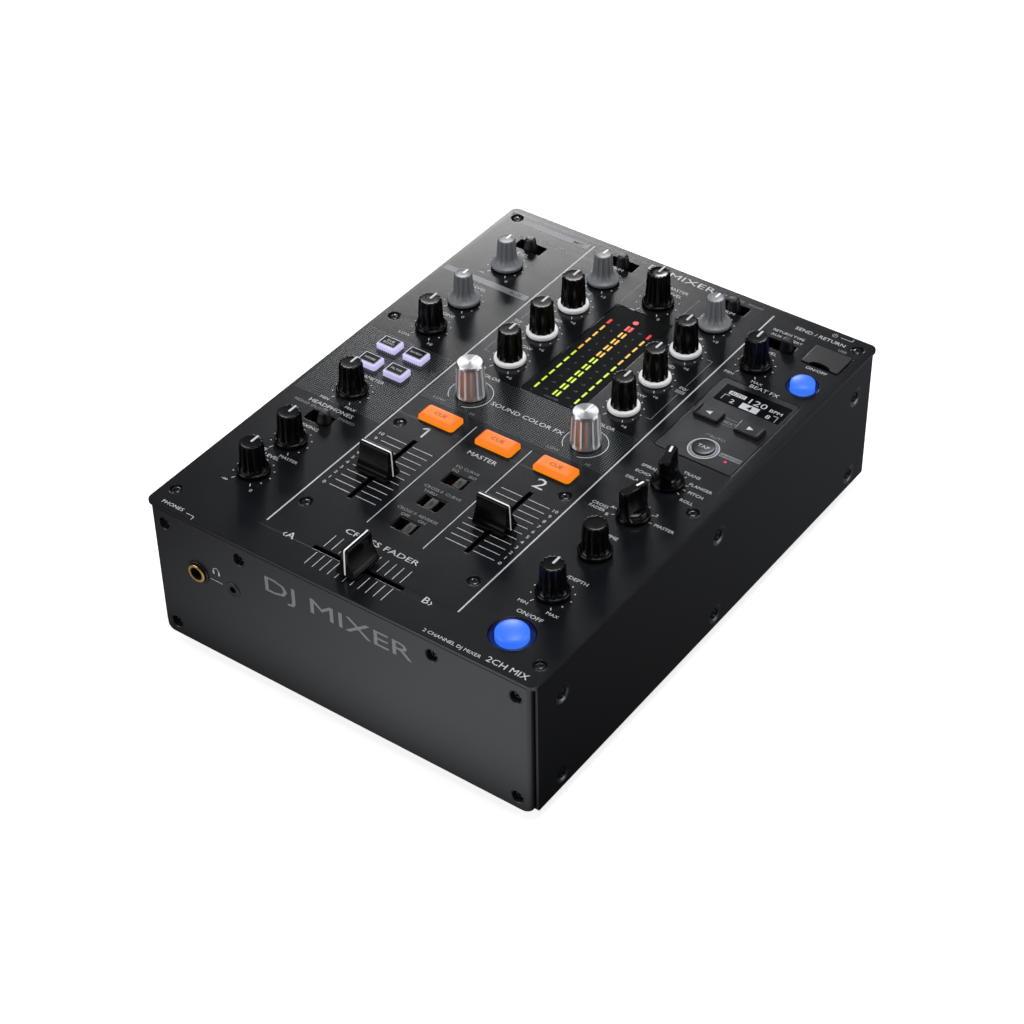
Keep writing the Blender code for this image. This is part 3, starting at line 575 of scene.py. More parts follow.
def finish(name, colour, rough, other=None, grain=2500.0, relief=0.15, depth=0.00004, smudge=0.06,
           patch=25.0, shader=None, glow=0.0, lit=None):
    """A Principled material with grain, drift of colour and handling marks."""
    material = bpy.data.materials.new(name)
    material.use_nodes = True
    tree = material.node_tree
    surface = tree.nodes["Principled BSDF"]
    coords = add(tree, "ShaderNodeTexCoord").outputs["Object"]
    skin = add(tree, "ShaderNodeGroup", node_tree=GRAIN)
    marks = add(tree, "ShaderNodeGroup", node_tree=HANDLING)
    for effect, sizes in ((skin, {"Grain": grain, "Patch": patch}),
                          (marks, {"Smudge size": patch * 1.7, "Scratch size": 900.0})):
        tree.links.new(coords, effect.inputs["Vector"])
        for key, value in sizes.items():
            effect.inputs[key].default_value = value
    other = other or tuple(c * 0.82 for c in colour[:3]) + (1.0,)
    shade = add(tree, "ShaderNodeMix", {"Factor": skin.outputs["Drift"], "A": colour, "B": other},
                data_type="RGBA")
    colour_in, colour_out = [s for s in shade.inputs if s.type == "RGBA"], shade.outputs[2]
    colour_in[0].default_value, colour_in[1].default_value = colour, other
    tree.links.new(colour_out, surface.inputs["Base Color"])
    worn = add(tree, "ShaderNodeMapRange", {"Value": marks.outputs["Smudge"], "To Min": rough,
                                            "To Max": min(rough + smudge, 1.0)})
    scratched = sums(tree, "ADD", worn.outputs[0], sums(tree, "MULTIPLY", marks.outputs["Scratch"],
                                                        smudge))
    tree.links.new(scratched, surface.inputs["Roughness"])
    bump = add(tree, "ShaderNodeBump", {"Height": skin.outputs["Height"], "Strength": relief,
                                        "Distance": depth})
    tree.links.new(bump.outputs[0], surface.inputs["Normal"])
    for key, value in (shader or {}).items():
        surface.inputs[key].default_value = value
    if glow:
        surface.inputs["Emission Strength"].default_value = glow
        warm = add(tree, "ShaderNodeMix", {"Factor": skin.outputs["Drift"]}, data_type="RGBA")
        tints = [s for s in warm.inputs if s.type == "RGBA"]
        tints[0].default_value, tints[1].default_value = lit
        tree.links.new(warm.outputs[2], surface.inputs["Emission Color"])
    return material


# %% [markdown]
# ## Paint, plastic, metal and light
#
# The box is steel with a fine black powder coat, a little smoother on the front panel.
# Knobs and caps are glossy black or dull grey plastic. The two colour knobs are turned
# aluminium. Lit buttons are milky plastic with a lamp behind, so they give light of
# their own. The colours are those of each real finish in plain light.

# %% The finishes
BLACK_PAINT = finish("black_powder_coat", tone(21, 22, 26), 0.23, tone(18, 19, 22), grain=2600.0,
                     relief=0.06, smudge=0.012, shader={"Specular IOR Level": 0.45})
# The case wears the plate's black coat with its colour set darker: painted shade for the side walls, which
# face away from the light.
SHADED_CASE_PAINT = finish("side_powder_coat_painted_shade", tone(13, 14, 18), 0.42, tone(10, 11, 14), grain=2200.0,
                    relief=0.10, smudge=0.015, shader={"Specular IOR Level": 0.4})
FRONT_PAINT = finish("front_panel_paint", tone(24, 25, 29), 0.36, tone(20, 21, 25), grain=3200.0,
                     relief=0.05, smudge=0.015, shader={"Specular IOR Level": 0.5})
SEAT_STEEL = finish("screw_seat_steel", tone(112, 113, 118), 0.3, tone(92, 93, 98), grain=1800.0,
                    relief=0.1, shader={"Metallic": 1.0})
HOLE_BLACK = finish("inside_black", tone(8, 8, 9), 0.6, tone(12, 12, 13), shader={"Specular IOR Level": 0.15})
PATTERN_DOT = finish("pattern_dot_ink", tone(66, 78, 76), 0.4, tone(56, 68, 66))
GLOSS_BLACK = finish("glossy_black_plastic", tone(7, 7, 9), 0.2, tone(5, 5, 6), relief=0.0,
                     smudge=0.0, patch=60.0, shader={"Specular IOR Level": 0.3})
CAP_BLACK = finish("fader_cap_plastic", tone(5, 5, 7), 0.12, tone(4, 4, 5), relief=0.0, smudge=0.02,
                   patch=60.0, shader={"Specular IOR Level": 0.16})
SATIN_BLACK = finish("satin_black_plastic", tone(19, 19, 22), 0.34, tone(15, 15, 18), relief=0.05,
                     smudge=0.05)
PANEL_SATIN = finish("effects_panel_satin", tone(30, 31, 34), 0.28, tone(26, 27, 30), relief=0.04,
                     smudge=0.03)
KNOB_GREY = finish("grey_plastic", tone(132, 134, 138), 0.4, tone(122, 124, 128), relief=0.08,
                   patch=80.0)
# White plastic of the knob rings, pointers, fader lines and phono rings. It has a faint painted glow of its
# own, though no lamp lies behind it.
WHITE_PLASTIC_PAINTED_GLOW = finish("white_plastic_painted_glow", tone(248, 248, 248), 0.42, tone(240, 241, 243), relief=0.03, glow=0.1,
                    lit=(tone(255, 255, 255), tone(250, 250, 252)))
WHITE_INK = finish("white_ink", tone(216, 218, 222), 0.5, tone(196, 198, 204), grain=5000.0,
                   relief=0.2, patch=600.0)
GREY_INK = finish("grey_ink", tone(140, 142, 147), 0.5, tone(122, 124, 129), grain=5000.0, patch=600.0)
DIM_INK = finish("dim_ink", tone(84, 86, 90), 0.5, tone(72, 74, 78), grain=5000.0, patch=600.0)
DARK_INK = finish("dark_ink", tone(20, 20, 22), 0.5, tone(28, 28, 30), grain=5000.0)
SCREW_BLACK = finish("blackened_steel", tone(84, 85, 90), 0.28, tone(60, 61, 66), grain=1800.0,
                     relief=0.1, shader={"Metallic": 0.9})
BRIGHT_STEEL = finish("nickel_plate", tone(205, 205, 208), 0.2, tone(180, 180, 184), patch=120.0,
                      shader={"Metallic": 1.0})
GOLD = finish("gold_plate", tone(236, 196, 104), 0.2, tone(210, 160, 70), patch=300.0,
              shader={"Metallic": 1.0})
RUBBER = finish("foot_rubber", tone(24, 24, 24), 0.82, tone(32, 32, 32), grain=1200.0, relief=0.5,
                shader={"Specular IOR Level": 0.2})
BOARD = finish("black_board", tone(12, 15, 14), 0.42, tone(8, 12, 10), grain=600.0, relief=0.2)
WINDOW = finish("smoked_window", tone(30, 31, 31), 0.08, tone(24, 25, 25), relief=0.0, smudge=0.02,
                shader={"Specular IOR Level": 0.5})
SCREEN = finish("display_black", tone(3, 3, 4), 0.12, tone(4, 4, 5), relief=0.02)
SCREEN_LIT = finish("display_white", tone(120, 122, 126), 0.3, tone(110, 112, 116), grain=4000.0,
                    glow=0.5, lit=(tone(236, 240, 246), tone(214, 218, 226)))
CUE_ORANGE = finish("lit_orange", tone(190, 90, 12), 0.4, tone(180, 80, 8), relief=0.03, patch=140.0,
                    glow=0.8, lit=(tone(255, 152, 24), tone(252, 138, 12)),
                    shader={"Specular IOR Level": 0.25})
CUE_EDGE = finish("lit_orange_edge", tone(190, 80, 20), 0.4, tone(180, 70, 14), relief=0.03,
                  patch=140.0, glow=0.74, lit=(tone(255, 136, 38), tone(252, 122, 20)),
                  shader={"Specular IOR Level": 0.25})
BURNT_INK = finish("burnt_ink", tone(40, 14, 2), 0.5, tone(32, 10, 1), patch=400.0)
LILAC = finish("lit_lilac", tone(170, 166, 200), 0.36, tone(160, 156, 196), relief=0.05, patch=160.0,
               glow=0.62, lit=(tone(226, 220, 255), tone(204, 198, 250)))
BLUE = finish("lit_blue", tone(24, 62, 190), 0.42, tone(16, 50, 180), relief=0.02, patch=120.0,
              glow=0.85, lit=(tone(70, 134, 250), tone(48, 110, 246)))
BLUE_COLLAR = finish("blue_collar", tone(8, 10, 40), 0.3, tone(4, 6, 30), relief=0.03, glow=0.2,
                     lit=(tone(10, 20, 130), tone(6, 10, 90)))
LAMP_GREEN = finish("lamp_green", tone(120, 140, 20), 0.3, glow=0.95, patch=400.0,
                    lit=(tone(206, 232, 40), tone(186, 214, 30)))
LAMP_YELLOW = finish("lamp_yellow", tone(150, 110, 20), 0.3, glow=0.9, patch=400.0,
                     lit=(tone(240, 190, 44), tone(232, 170, 34)))
LAMP_RED = finish("lamp_red", tone(150, 20, 14), 0.3, glow=0.85, patch=400.0,
                  lit=(tone(232, 40, 34), tone(206, 26, 26)))
LAMP_PINK = finish("lamp_pink", tone(160, 20, 60), 0.3, glow=0.9, patch=400.0,
                   lit=(tone(240, 20, 90), tone(214, 12, 70)))
print("finishes:", len(bpy.data.materials))

# %% [markdown]
# ## Turned aluminium
#
# The tops of the colour knobs were faced on a lathe, which leaves rings too fine to see,
# but they stretch the highlight into a bow tie; on the grip the streaks run upwards. The
# shader's own anisotropy does this when it is told which way a highlight stretches. That
# direction is stored on each knob's points, since both knobs share the finish and each
# has its own axis. A bump of rings would need to be too fine, and would only sparkle.

# %% The lathe finish


def lathe_finish(name, bright, rough, stretch):
    darker = bright - 16
    material = finish(name, tone(bright, bright, bright + 3), rough, tone(darker, darker, darker + 4),
                      relief=0.0, smudge=0.0, patch=200.0, shader={"Metallic": 1.0, "Anisotropic": stretch})
    tree = material.node_tree
    rings = add(tree, "ShaderNodeAttribute", attribute_name="streak_direction").outputs["Vector"]
    facing = add(tree, "ShaderNodeVectorTransform", {"Vector": rings}, vector_type="VECTOR",
                 convert_from="OBJECT", convert_to="WORLD")
    tree.links.new(facing.outputs[0], tree.nodes["Principled BSDF"].inputs["Tangent"])
    return material


ALUMINIUM = lathe_finish("turned_aluminium", 196, 0.3, 0.6)
ALUMINIUM_GRIP = lathe_finish("drawn_aluminium", 232, 0.4, 0.88)
print("lathe finishes made")

# %% [markdown]
# # The body of the mixer
#
# ## Top plate
#
# The plate is 2 mm steel, punched for every shaft, slot and button, and painted after
# punching. Its controls are read from the frame, so each hole lies under its knob. Slots
# are longer than the cap that runs in them, so their lengths are named here.

# %% Where the controls are
ROUND_KNOBS = {
    "black": ["mic_tone_knob", "color_parameter_knob", "headphones_mixing_knob",
              "headphones_level_knob", "return_level_knob", "beat_depth_knob"],
    "plain": ["beat_time_knob"],
    "large": ["master_level_knob"],
    "grey": ["mic_level_knob", "aux_level_knob", "ch1_trim_knob", "ch2_trim_knob"],
    "ringed": [f"{channel}_{band}_knob" for channel in ("ch1", "ch2") for band in ("hi", "mid", "low")],
    "silver": ["ch1_color_knob", "ch2_color_knob"],
}
SELECTORS = {"beat_select_knob": 15.0, "beat_channel_knob": -15.0}     # turn of the pointer
CUES = ["ch1_cue_button", "master_cue_button", "ch2_cue_button"]
COLOR_BUTTONS = [f"color_button_{n}" for n in (1, 2, 3, 4)]
DOMES = {"return_on_button": (6.4, 8.4), "beat_on_button": (8.1, 11.2)}  # radius, radius of its hole
CENTRE = 0.2                                   # x of the middle column
STRIP = 35.0                                   # channel strips, either side of the middle
LEVERS = {"mic_switch_lever": (-85.0, 125.4, 8.5, 3.9), "return_type_lever": (72.5, 125.3, 8.5, 3.9),
          "ch1_source_lever": (CENTRE - STRIP, 140.3, 8.5, 3.9),
          "ch2_source_lever": (CENTRE + STRIP, 140.3, 8.5, 3.9),
          "headphones_mode_lever": (-85.0, -56.3, 7.2, 4.2)}
SUNK = {"eq_curve_slider": -57.0, "fader_curve_slider": -76.8, "fader_reverse_slider": -97.0}
SUNK_HX, SUNK_HY = 6.25, 4.5
FADER_SLOTS = [(CENTRE - STRIP, -69.8), (CENTRE + STRIP, -69.8)]
FADER_SLOT, CROSS_SLOT, SLOT_HALF_W = 26.5, 26.6, 1.3
CROSS_Y = -133.3
METER = (0.4, 64.6, 17.1, 43.6)
EFFECTS = (85.3, 53.9, 22.0, 32.7)
LID = (98.6, 128.5, 10.6, 8.0)
PLATE_SCREWS = [(-107.3, 144.4), (107.3, 144.4), (-107.4, 33.5), (107.0, -12.0), (-107.4, -138.6),
                (107.4, -138.6), (-50.0, -36.2), (50.0, -36.2), (-50.0, -110.0), (50.0, -110.0)]
SCREW_SEAT = 3.5

# %% Punch the top plate


def box_hole(x, y, hx, hy, r):
    return rounded(hx, hy, r, cx=x, cy=y, steps=3)


def top_plate():
    room = 0.4
    holes = [circle(3.9, 0, 24, *spot(n)) for names in ROUND_KNOBS.values() for n in names]
    holes += [circle(3.9, 0, 24, *spot(n)) for n in SELECTORS]
    holes += [circle(SCREW_SEAT, 0, 28, x, y) for x, y in PLATE_SCREWS]
    holes += [circle(hole, 0, 48, *spot(n)) for n, (_, hole) in DOMES.items()]
    holes += [box_hole(*spot(n), 10.7 + room, 5.5 + room, 1.9) for n in CUES]
    holes += [box_hole(*spot(n), 6.0 + room, 4.5 + room, 1.5) for n in COLOR_BUTTONS]
    holes += [box_hole(x, y, hx, hy, 0.8) for x, y, hx, hy in LEVERS.values()]
    holes += [box_hole(CENTRE, y, SUNK_HX, SUNK_HY, 0.6) for y in SUNK.values()]
    holes += [box_hole(x, y, SLOT_HALF_W, FADER_SLOT, 0.5) for x, y in FADER_SLOTS]
    holes += [box_hole(CENTRE, CROSS_Y, CROSS_SLOT, SLOT_HALF_W, 0.5)]
    holes += [box_hole(x, y, hx + room, hy + room, 1.4) for x, y, hx, hy in (METER, EFFECTS, LID)]
    bm = bmesh.new()
    punched_sheet(bm, rounded(PLATE_HX, PLATE_HY, 4.0, steps=8), holes, PLATE_T)
    print("holes in the plate:", len(holes))
    return make_piece(bm, "top_plate", [BLACK_PAINT], stands_for=["top_panel"])


top_plate()

# %% [markdown]
# ## Front panel
#
# The front panel is a thicker plate whose ends fold back round the corners with a small
# radius, and its lower corners are rounded. It is drawn as a loft up the face, so the
# fold and the corners come from the loops; the screw and jack holes are then cut by a
# Boolean, because the folded shape isn't flat.

# %% Fold the front panel
FRONT_HX = (front_high.x - front_low.x) / 2
FRONT_H = front_high.z - front_low.z
FRONT_SCREWS = [(-104.0, 71.7), (-57.2, 71.7), (57.2, 71.7), (104.0, 71.7), (-104.0, 7.5), (104.0, 7.5)]
BIG_JACK, SMALL_JACK = (-85.0, 50.0), (-63.0, 49.7)


def folded_loop(height, shrink):
    """The panel seen from above: z points out of the face, so the folds run to -z."""
    thick, back, r, steps = 2.5, 6.0, 2.4, 6
    half = FRONT_HX - shrink
    arc = [math.pi / 2 * i / steps for i in range(steps + 1)]
    right = [(half, -back)] + [(half - r + r * math.cos(a), r * math.sin(a) - r) for a in arc]
    outside = right + [(-x, z) for x, z in reversed(right)]
    inside = [(half - thick, -thick), (half - thick, -back)]
    outside += [(-x, z) for x, z in reversed(inside)] + inside
    return [(x, height, z) for x, z in outside]


def front_panel():
    corner = 3.0
    bm = bmesh.new()
    levels = [(corner * (1 - math.cos(a)), corner * (1 - math.sin(a)))
              for a in (math.pi / 2 * i / 6 for i in range(7))]
    loft(bm, [folded_loop(height, shrink) for height, shrink in levels] + [folded_loop(FRONT_H, 0.0)])
    bmesh.ops.recalc_face_normals(bm, faces=bm.faces)
    tools = bmesh.new()
    for x, y in FRONT_SCREWS:
        turned(tools, [(-9.0, 3.6), (-0.3, 3.6), (0.2, 4.1), (1.0, 4.1)], cx=x, cy=y, sides=36)
    for (x, y), r in ((BIG_JACK, 6.5), (SMALL_JACK, 4.5)):
        turned(tools, [(-9.0, r), (1.0, r)], cx=x, cy=y, sides=40)
    bmesh.ops.recalc_face_normals(tools, faces=tools.faces)
    objects = []
    for drawing in (bm, tools):
        mesh = bpy.data.meshes.new("blank")
        drawing.to_mesh(mesh)
        drawing.free()
        objects.append(bpy.data.objects.new("blank", mesh))
        bpy.context.scene.collection.objects.link(objects[-1])
    cut = objects[0].modifiers.new("holes", "BOOLEAN")
    cut.operation, cut.object, cut.solver = "DIFFERENCE", objects[1], "EXACT"
    punched = bmesh.new()
    punched.from_mesh(evaluated_mesh(objects[0]))
    bpy.data.objects.remove(objects[1])
    return make_piece(punched, "front_plate", [FRONT_PAINT], FRONT,
                      stands_for=["front_panel"])


print("front panel faces:", len(front_panel().data.polygons))

# %% [markdown]
# ## Case
#
# Bottom, side walls and back wall come from one folded sheet. Each side wall has six
# dished seats, pressed inwards so that the screw heads lie below the surface; the lower
# rim of each dish catches the light. The back wall is punched for the sockets.

# %% Fold the case
SHEET = 1.5
WALL_FRONT, WALL_BACK = case_low.y - PLATE_Y, case_high.y - PLATE_Y
WALL_H = case_high.z - BOTTOM_Z
CASE_LIFT = case_low.z - BOTTOM_Z
SIDE_SCREWS = [(y, z) for y in (-130.0, 2.0, 134.0) for z in (61.0, 9.5)]
XLRS, MIC_SOCKET = [(62.0, 27.0), (35.0, 27.0)], (-94.0, 27.0)
JACKS = [(x, 58.0) for x in (70.0, 52.0, 34.0, 16.0)]
PHONOS = [(x, z) for x in (11.0, -9.0, -25.0, -49.0, -65.0) for z in (19.0, 33.0)]
EARTH, POWER, INLET = (-37.0, 58.0), (98.0, 62.0), (91.0, 26.0)
DISH_R, DISH_DEEP = 5.2, 1.3


def dish(bm, x, y, material=1):
    """A pressed screw seat in a wall, with the thickness of the sheet."""
    rim, floor = DISH_R, 3.2
    outside = [(-DISH_DEEP, floor), (-DISH_DEEP * 0.55, floor + 0.7), (-0.25, rim - 0.35), (-0.02, rim),
               (-0.02, rim + 0.3)]
    inside = [(z - 0.9, r) for z, r in reversed(outside)]
    turned(bm, [(-DISH_DEEP, 0.01)] + outside + inside + [(-DISH_DEEP - 0.9, 0.01)], material, 40, x, y)


def side_wall(bm, place, mirror):
    """One side wall, drawn on its own face; `mirror` is -1 where the face's x runs backwards."""
    seats = [(mirror * y, z) for y, z in SIDE_SCREWS]
    low, high = sorted((mirror * WALL_FRONT, mirror * WALL_BACK))
    middle, half = (low + high) / 2, (high - low) / 2
    wall = bmesh.new()
    outline = rounded(half, (WALL_H - CASE_LIFT) / 2, 1.0, cx=middle, cy=(WALL_H + CASE_LIFT) / 2)
    punched_sheet(wall, outline, [circle(DISH_R, 0, 40, x, y) for x, y in seats], SHEET, 0.3)
    for x, y in seats:
        dish(wall, x, y)
    pour(bm, wall, place)


def pour(bm, drawing, place):
    """Adds one drawing to another, put in place."""
    drawing.transform(place)
    mesh = bpy.data.meshes.new("pour")
    drawing.to_mesh(mesh)
    drawing.free()
    bm.from_mesh(mesh)


def back_wall(bm, place):
    """The back wall, seen from behind: its x runs the other way."""
    holes = [circle(11.6, 0, 40, -x, z) for x, z in [*XLRS, MIC_SOCKET]]
    holes += [circle(5.6, 0, 32, -x, z) for x, z in JACKS + PHONOS]
    holes += [circle(3.4, 0, 20, -EARTH[0], EARTH[1]), circle(6.4, 0, 32, -POWER[0], POWER[1])]
    holes += [box_hole(-INLET[0], INLET[1], 14.2, 10.6, 1.2)]
    wall = bmesh.new()
    outline = rounded(case_high.x - 0.4, (WALL_H - CASE_LIFT) / 2, 1.0, cy=(WALL_H + CASE_LIFT) / 2)
    punched_sheet(wall, outline, holes, SHEET, 0.3)
    pour(bm, wall, place)


def case_shell():
    bm = bmesh.new()
    side_wall(bm, RIGHT, 1)
    side_wall(bm, LEFT, -1)
    back_wall(bm, BACK)
    floor = bmesh.new()
    middle = (WALL_FRONT + WALL_BACK) / 2
    outline = rounded(case_high.x - 0.4, (WALL_BACK - WALL_FRONT) / 2 - 0.4, 1.0, cy=middle)
    slots = [box_hole(x, y, 1.2, 9.0, 1.2) for x in range(-42, 43, 6) for y in (-60.0, 60.0)]
    punched_sheet(floor, outline, slots, SHEET, 0.2)
    pour(bm, floor, BELOW)
    return make_piece(bm, "case_shell", [SHADED_CASE_PAINT, SEAT_STEEL], Matrix.Identity(4),
                      stands_for=["case"])


print("case faces:", len(case_shell().data.polygons))

# %% [markdown]
# ## Screws
#
# Every screw is the same blackened cross-head. One head is drawn as a loft, with the
# cross as a loop of sixteen points that sinks into it, and a tree sets it out on a
# face's screw holes, each turned by its own seeded angle, as a worker leaves them.

# %% Draw one cross-head screw


CROSS_ARM, CROSS_HALF = 1.6, 0.42


def cross_loop(z, arm, half):
    """Sixteen points round a plus sign, at the bearings of `screw_loop`."""
    points = []
    for quarter in range(4):
        for x, y in ((arm, 0.0), (arm, half), (half, half), (half, arm)):
            turn = Matrix.Rotation(math.pi / 2 * quarter, 2)
            points.append((*(turn @ Vector((x, y))), z))
    return points


def screw_loop(z, r):
    """A circle whose points lie at the bearings of the cross's corners."""
    bearings = [math.atan2(y, x) for x, y, _ in cross_loop(0.0, CROSS_ARM, CROSS_HALF)]
    return [(r * math.cos(a), r * math.sin(a), z) for a in bearings]


def screw_mesh(head_r, depth, seat_r):
    """A dished seat ring with a pan head in it; z = 0 is the face it sits in."""
    bm = bmesh.new()
    seat = [(-depth - 1.4, seat_r), (-0.35, seat_r), (-0.3, seat_r - 0.25), (-depth + 0.1, seat_r - 0.5),
            (-depth, head_r + 0.1), (-depth + 0.7, head_r), (-depth + 1.15, head_r - 0.45),
            (-depth + 1.35, head_r - 1.0)]
    loops = [screw_loop(z, r) for z, r in seat]
    top = -depth + 1.36
    loops += [cross_loop(top, CROSS_ARM, CROSS_HALF), cross_loop(top - 0.8, 1.35, 0.3)]
    loft(bm, loops)
    bmesh.ops.recalc_face_normals(bm, faces=bm.faces)
    mesh = bpy.data.meshes.new("screw")
    bm.to_mesh(mesh)
    bm.free()
    return bpy.data.objects.new("screw", mesh)


def screw_tree():
    tree, start, end = new_tree("screws", {"Head": "Object", "Seed": "Int", "Material": "Material"})
    head = add(tree, "GeometryNodeObjectInfo", {"Object": start.outputs["Head"]}).outputs["Geometry"]
    angle = add(tree, "FunctionNodeRandomValue", {"Seed": start.outputs["Seed"]}, data_type="FLOAT")
    angle.inputs[3].default_value = math.pi
    facing = add(tree, "ShaderNodeCombineXYZ", {"Z": angle.outputs[1]})
    placed = add(tree, "GeometryNodeInstanceOnPoints", {"Points": start.outputs["Geometry"],
                                                        "Instance": head, "Rotation": facing.outputs[0]})
    finish_tree(tree, end, placed.outputs[0], start.outputs["Material"])
    return tree


SCREWS = screw_tree()


def screws(name, points, place, head_r=2.6, depth=1.5, seat_r=SCREW_SEAT, seed=1):
    head = screw_mesh(head_r, depth, seat_r)
    mesh = grow(points_mesh(points), SCREWS, Head=head, Seed=seed, Material=SCREW_BLACK)
    bpy.data.objects.remove(head)
    bm = bmesh.new()
    add_mesh(bm, mesh)
    return make_piece(bm, name, [SCREW_BLACK], place)


screws("plate_screws", PLATE_SCREWS, PLATE, seed=3)
screws("front_screws", FRONT_SCREWS, FRONT, depth=3.0, seat_r=3.55, seed=5)
screws("right_screws", SIDE_SCREWS, RIGHT, head_r=2.5, depth=2.0, seat_r=3.0, seed=7)
screws("left_screws", [(-y, z) for y, z in SIDE_SCREWS], LEFT, head_r=2.5, depth=2.0,
       seat_r=3.0, seed=8)
print("screws set out on four faces")

# %% [markdown]
# # Controls
#
# ## Rotary knobs
#
# All rotary knobs share one way of making: a turned profile whose grip is fluted by the
# tree, then a printed pointer on top. Each style is made once and copied, because the
# real knobs of a style come from one mould. A profile lists height, radius and how much
# of the flute's depth that height takes.

# %% Mould the knob styles
KNOB_TOP = 20.0
GRIP = {"black": (14, 0.75), "plain": (14, 0.75), "large": (16, 0.8), "grey": (14, 0.55),
        "ringed": (12, 0.7), "silver": (18, 0.45)}


def settled(profile, low, high):
    """The profile squeezed between two heights above the plate."""
    first, last = profile[0][0], KNOB_TOP
    return [(low + (z - first) * (high - low) / (last - first), r, flute) for z, r, flute in profile]


def knob_profile(style):
    """Heights above the plate, radii and flute values, from the underside up."""
    top = KNOB_TOP
    low, short = {"black": (1.2, 1.6), "plain": (1.2, 1.6), "grey": (1.0, 2.3)}.get(style, (0.5, 0.0))
    skirt = [(0.5, 7.6, 0), (0.5, 8.3, 0), (0.8, 8.5, 0), (1.7, 8.45, 0), (2.25, 8.2, 0), (2.4, 7.9, 0),
             (2.3, 7.6, 0), (1.9, 7.35, 0), (2.1, 7.0, 0), (2.9, 6.85, 0.3), (3.9, 6.75, 0.8)]
    crown = [(top - 0.55, 6.0, 1), (top - 0.2, 5.8, 0.95), (top - 0.02, 5.45, 0.7), (top, 5.1, 0.4),
             (top, 4.8, 0.1), (top - 0.12, 4.55, 0), (top - 0.12, 2.0, 0), (top - 0.12, 0.02, 0)]
    if style in ("black", "plain"):
        return settled(skirt + [(5.0, 6.7, 1), (11.0, 6.4, 1)] + crown, low, top - short)
    if style == "large":
        return [(z, r * 1.01, f) for z, r, f in skirt + [(5.0, 6.7, 1), (11.0, 6.4, 1)] + crown]
    if style == "ringed":
        return [(0.5, 6.9, 0), (2.2, 6.9, 0), (3.0, 6.85, 0.5), (4.2, 6.8, 1), (11.0, 6.45, 1)] + crown
    if style == "grey":
        flare = [(0.5, 7.9, 0), (0.5, 8.6, 0), (0.8, 8.75, 0), (2.0, 8.7, 0), (2.35, 8.45, 0),
                 (2.6, 7.9, 0), (3.3, 7.0, 0.1), (4.4, 6.3, 0.5), (6.0, 5.75, 0.9), (8.0, 5.4, 1)]
        return settled(flare + [(z, r * 0.81, f) for z, r, f in crown], low, top - short)
    body = [(0.5, 7.4, 0), (0.5, 7.9, 0), (0.9, 8.0, 0), (2.2, 7.95, 0.6), (3.4, 7.9, 1)]
    rim = [(top - 2.2, 7.15, 1), (top - 1.6, 7.1, 0.6), (top - 1.3, 7.05, 0), (top - 0.5, 6.65, 0),
           (top, 6.3, 0)]
    return body + rim + [(top, r, 0) for r in (5.2, 4.2, 3.2, 2.2, 1.2, 0.02)]


POINTER_HALF_W = 0.6
POINTER_REACH = {"silver": 6.4, "large": 6.4, "grey": 4.4}      # from the axis; 5.7 on the others


def knob_mesh(style):
    """One moulded knob on its own axis, in four materials: body, pointer, ring or grip, hub."""
    bm = bmesh.new()
    layer = bm.verts.layers.float_vector.new("streak_direction")
    profile = knob_profile(style)
    add_mesh(bm, fluted(profile, *GRIP[style]))
    rim_level = profile[-1][0] - 1.4
    for vertex in bm.verts:
        round_it = Vector((-vertex.co.y, vertex.co.x, 0.0)).normalized()
        vertex[layer] = round_it if vertex.co.z > rim_level else Vector((0.0, 0.0, 1.0))
    if style == "silver":
        for grip_face in bm.faces:
            grip_face.material_index = 2 if grip_face.calc_center_median().z < rim_level else 0
    if style == "ringed":
        ring = [(0.6, 6.7), (0.6, 8.2), (0.85, 8.4), (1.9, 8.4), (2.5, 8.2), (2.75, 7.9), (2.9, 7.4),
                (3.0, 6.9), (3.0, 6.5)]
        turned(bm, ring, material=2, sides=72)
    tall = profile[-1][0]
    if style != "plain":
        half = POINTER_REACH.get(style, 5.7) / 2
        block(bm, POINTER_HALF_W, half, POINTER_HALF_W * 0.8, soft_edge(tall - 0.3, tall + 0.14, 0.05), 1,
              cy=half, steps=3)
    hub = [(-10.0, 2.9), (0.7, 2.9), (0.7, 7.0)] if style != "silver" else [(-10.0, 2.9), (0.7, 2.9)]
    turned(bm, hub, material=3, sides=20)
    bmesh.ops.dissolve_degenerate(bm, edges=bm.edges, dist=0.0002)
    mesh = bpy.data.meshes.new(style)
    bm.to_mesh(mesh)
    bm.free()
    return mesh


KNOB_LOOKS = {
    "black": [GLOSS_BLACK, WHITE_INK, WHITE_PLASTIC_PAINTED_GLOW, HOLE_BLACK],
    "grey": [KNOB_GREY, WHITE_PLASTIC_PAINTED_GLOW, WHITE_PLASTIC_PAINTED_GLOW, HOLE_BLACK],
    "silver": [ALUMINIUM, WHITE_PLASTIC_PAINTED_GLOW, ALUMINIUM_GRIP, HOLE_BLACK],
}


for style, names in ROUND_KNOBS.items():
    mould = knob_mesh(style)
    for name in names:
        bm = bmesh.new()
        bm.from_mesh(mould)
        make_piece(bm, name.replace("_knob", "_cap"), KNOB_LOOKS.get(style, KNOB_LOOKS["black"]),
                   at(*spot(name)), name, [name], crease=45)
    print(style, "knobs:", len(names), "with", len(mould.polygons), "faces each")

# %% [markdown]
# ## Selector knobs
#
# The two effect selectors are switches with clicks, so their caps are bars to hold on
# to: a round skirt with an upright bar whose flanks are scooped out. The scoop is a
# curve across the bar's length, wider at both ends, and the bar narrows towards the top.

# %% Mould the selector knobs


def bar_loop(z, waist, end, half_length):
    """The bar's outline: scooped flanks and rounded ends."""
    points = []
    steps = 10
    for side in (1, -1):
        for i in range(steps + 1):
            along = 1 - 2 * i / steps
            width = waist + (end - waist) * along ** 2
            width *= 1 - 0.55 * max(0.0, abs(along) - 0.9) / 0.1
            points.append((side * width, side * along * half_length, z))
    return points


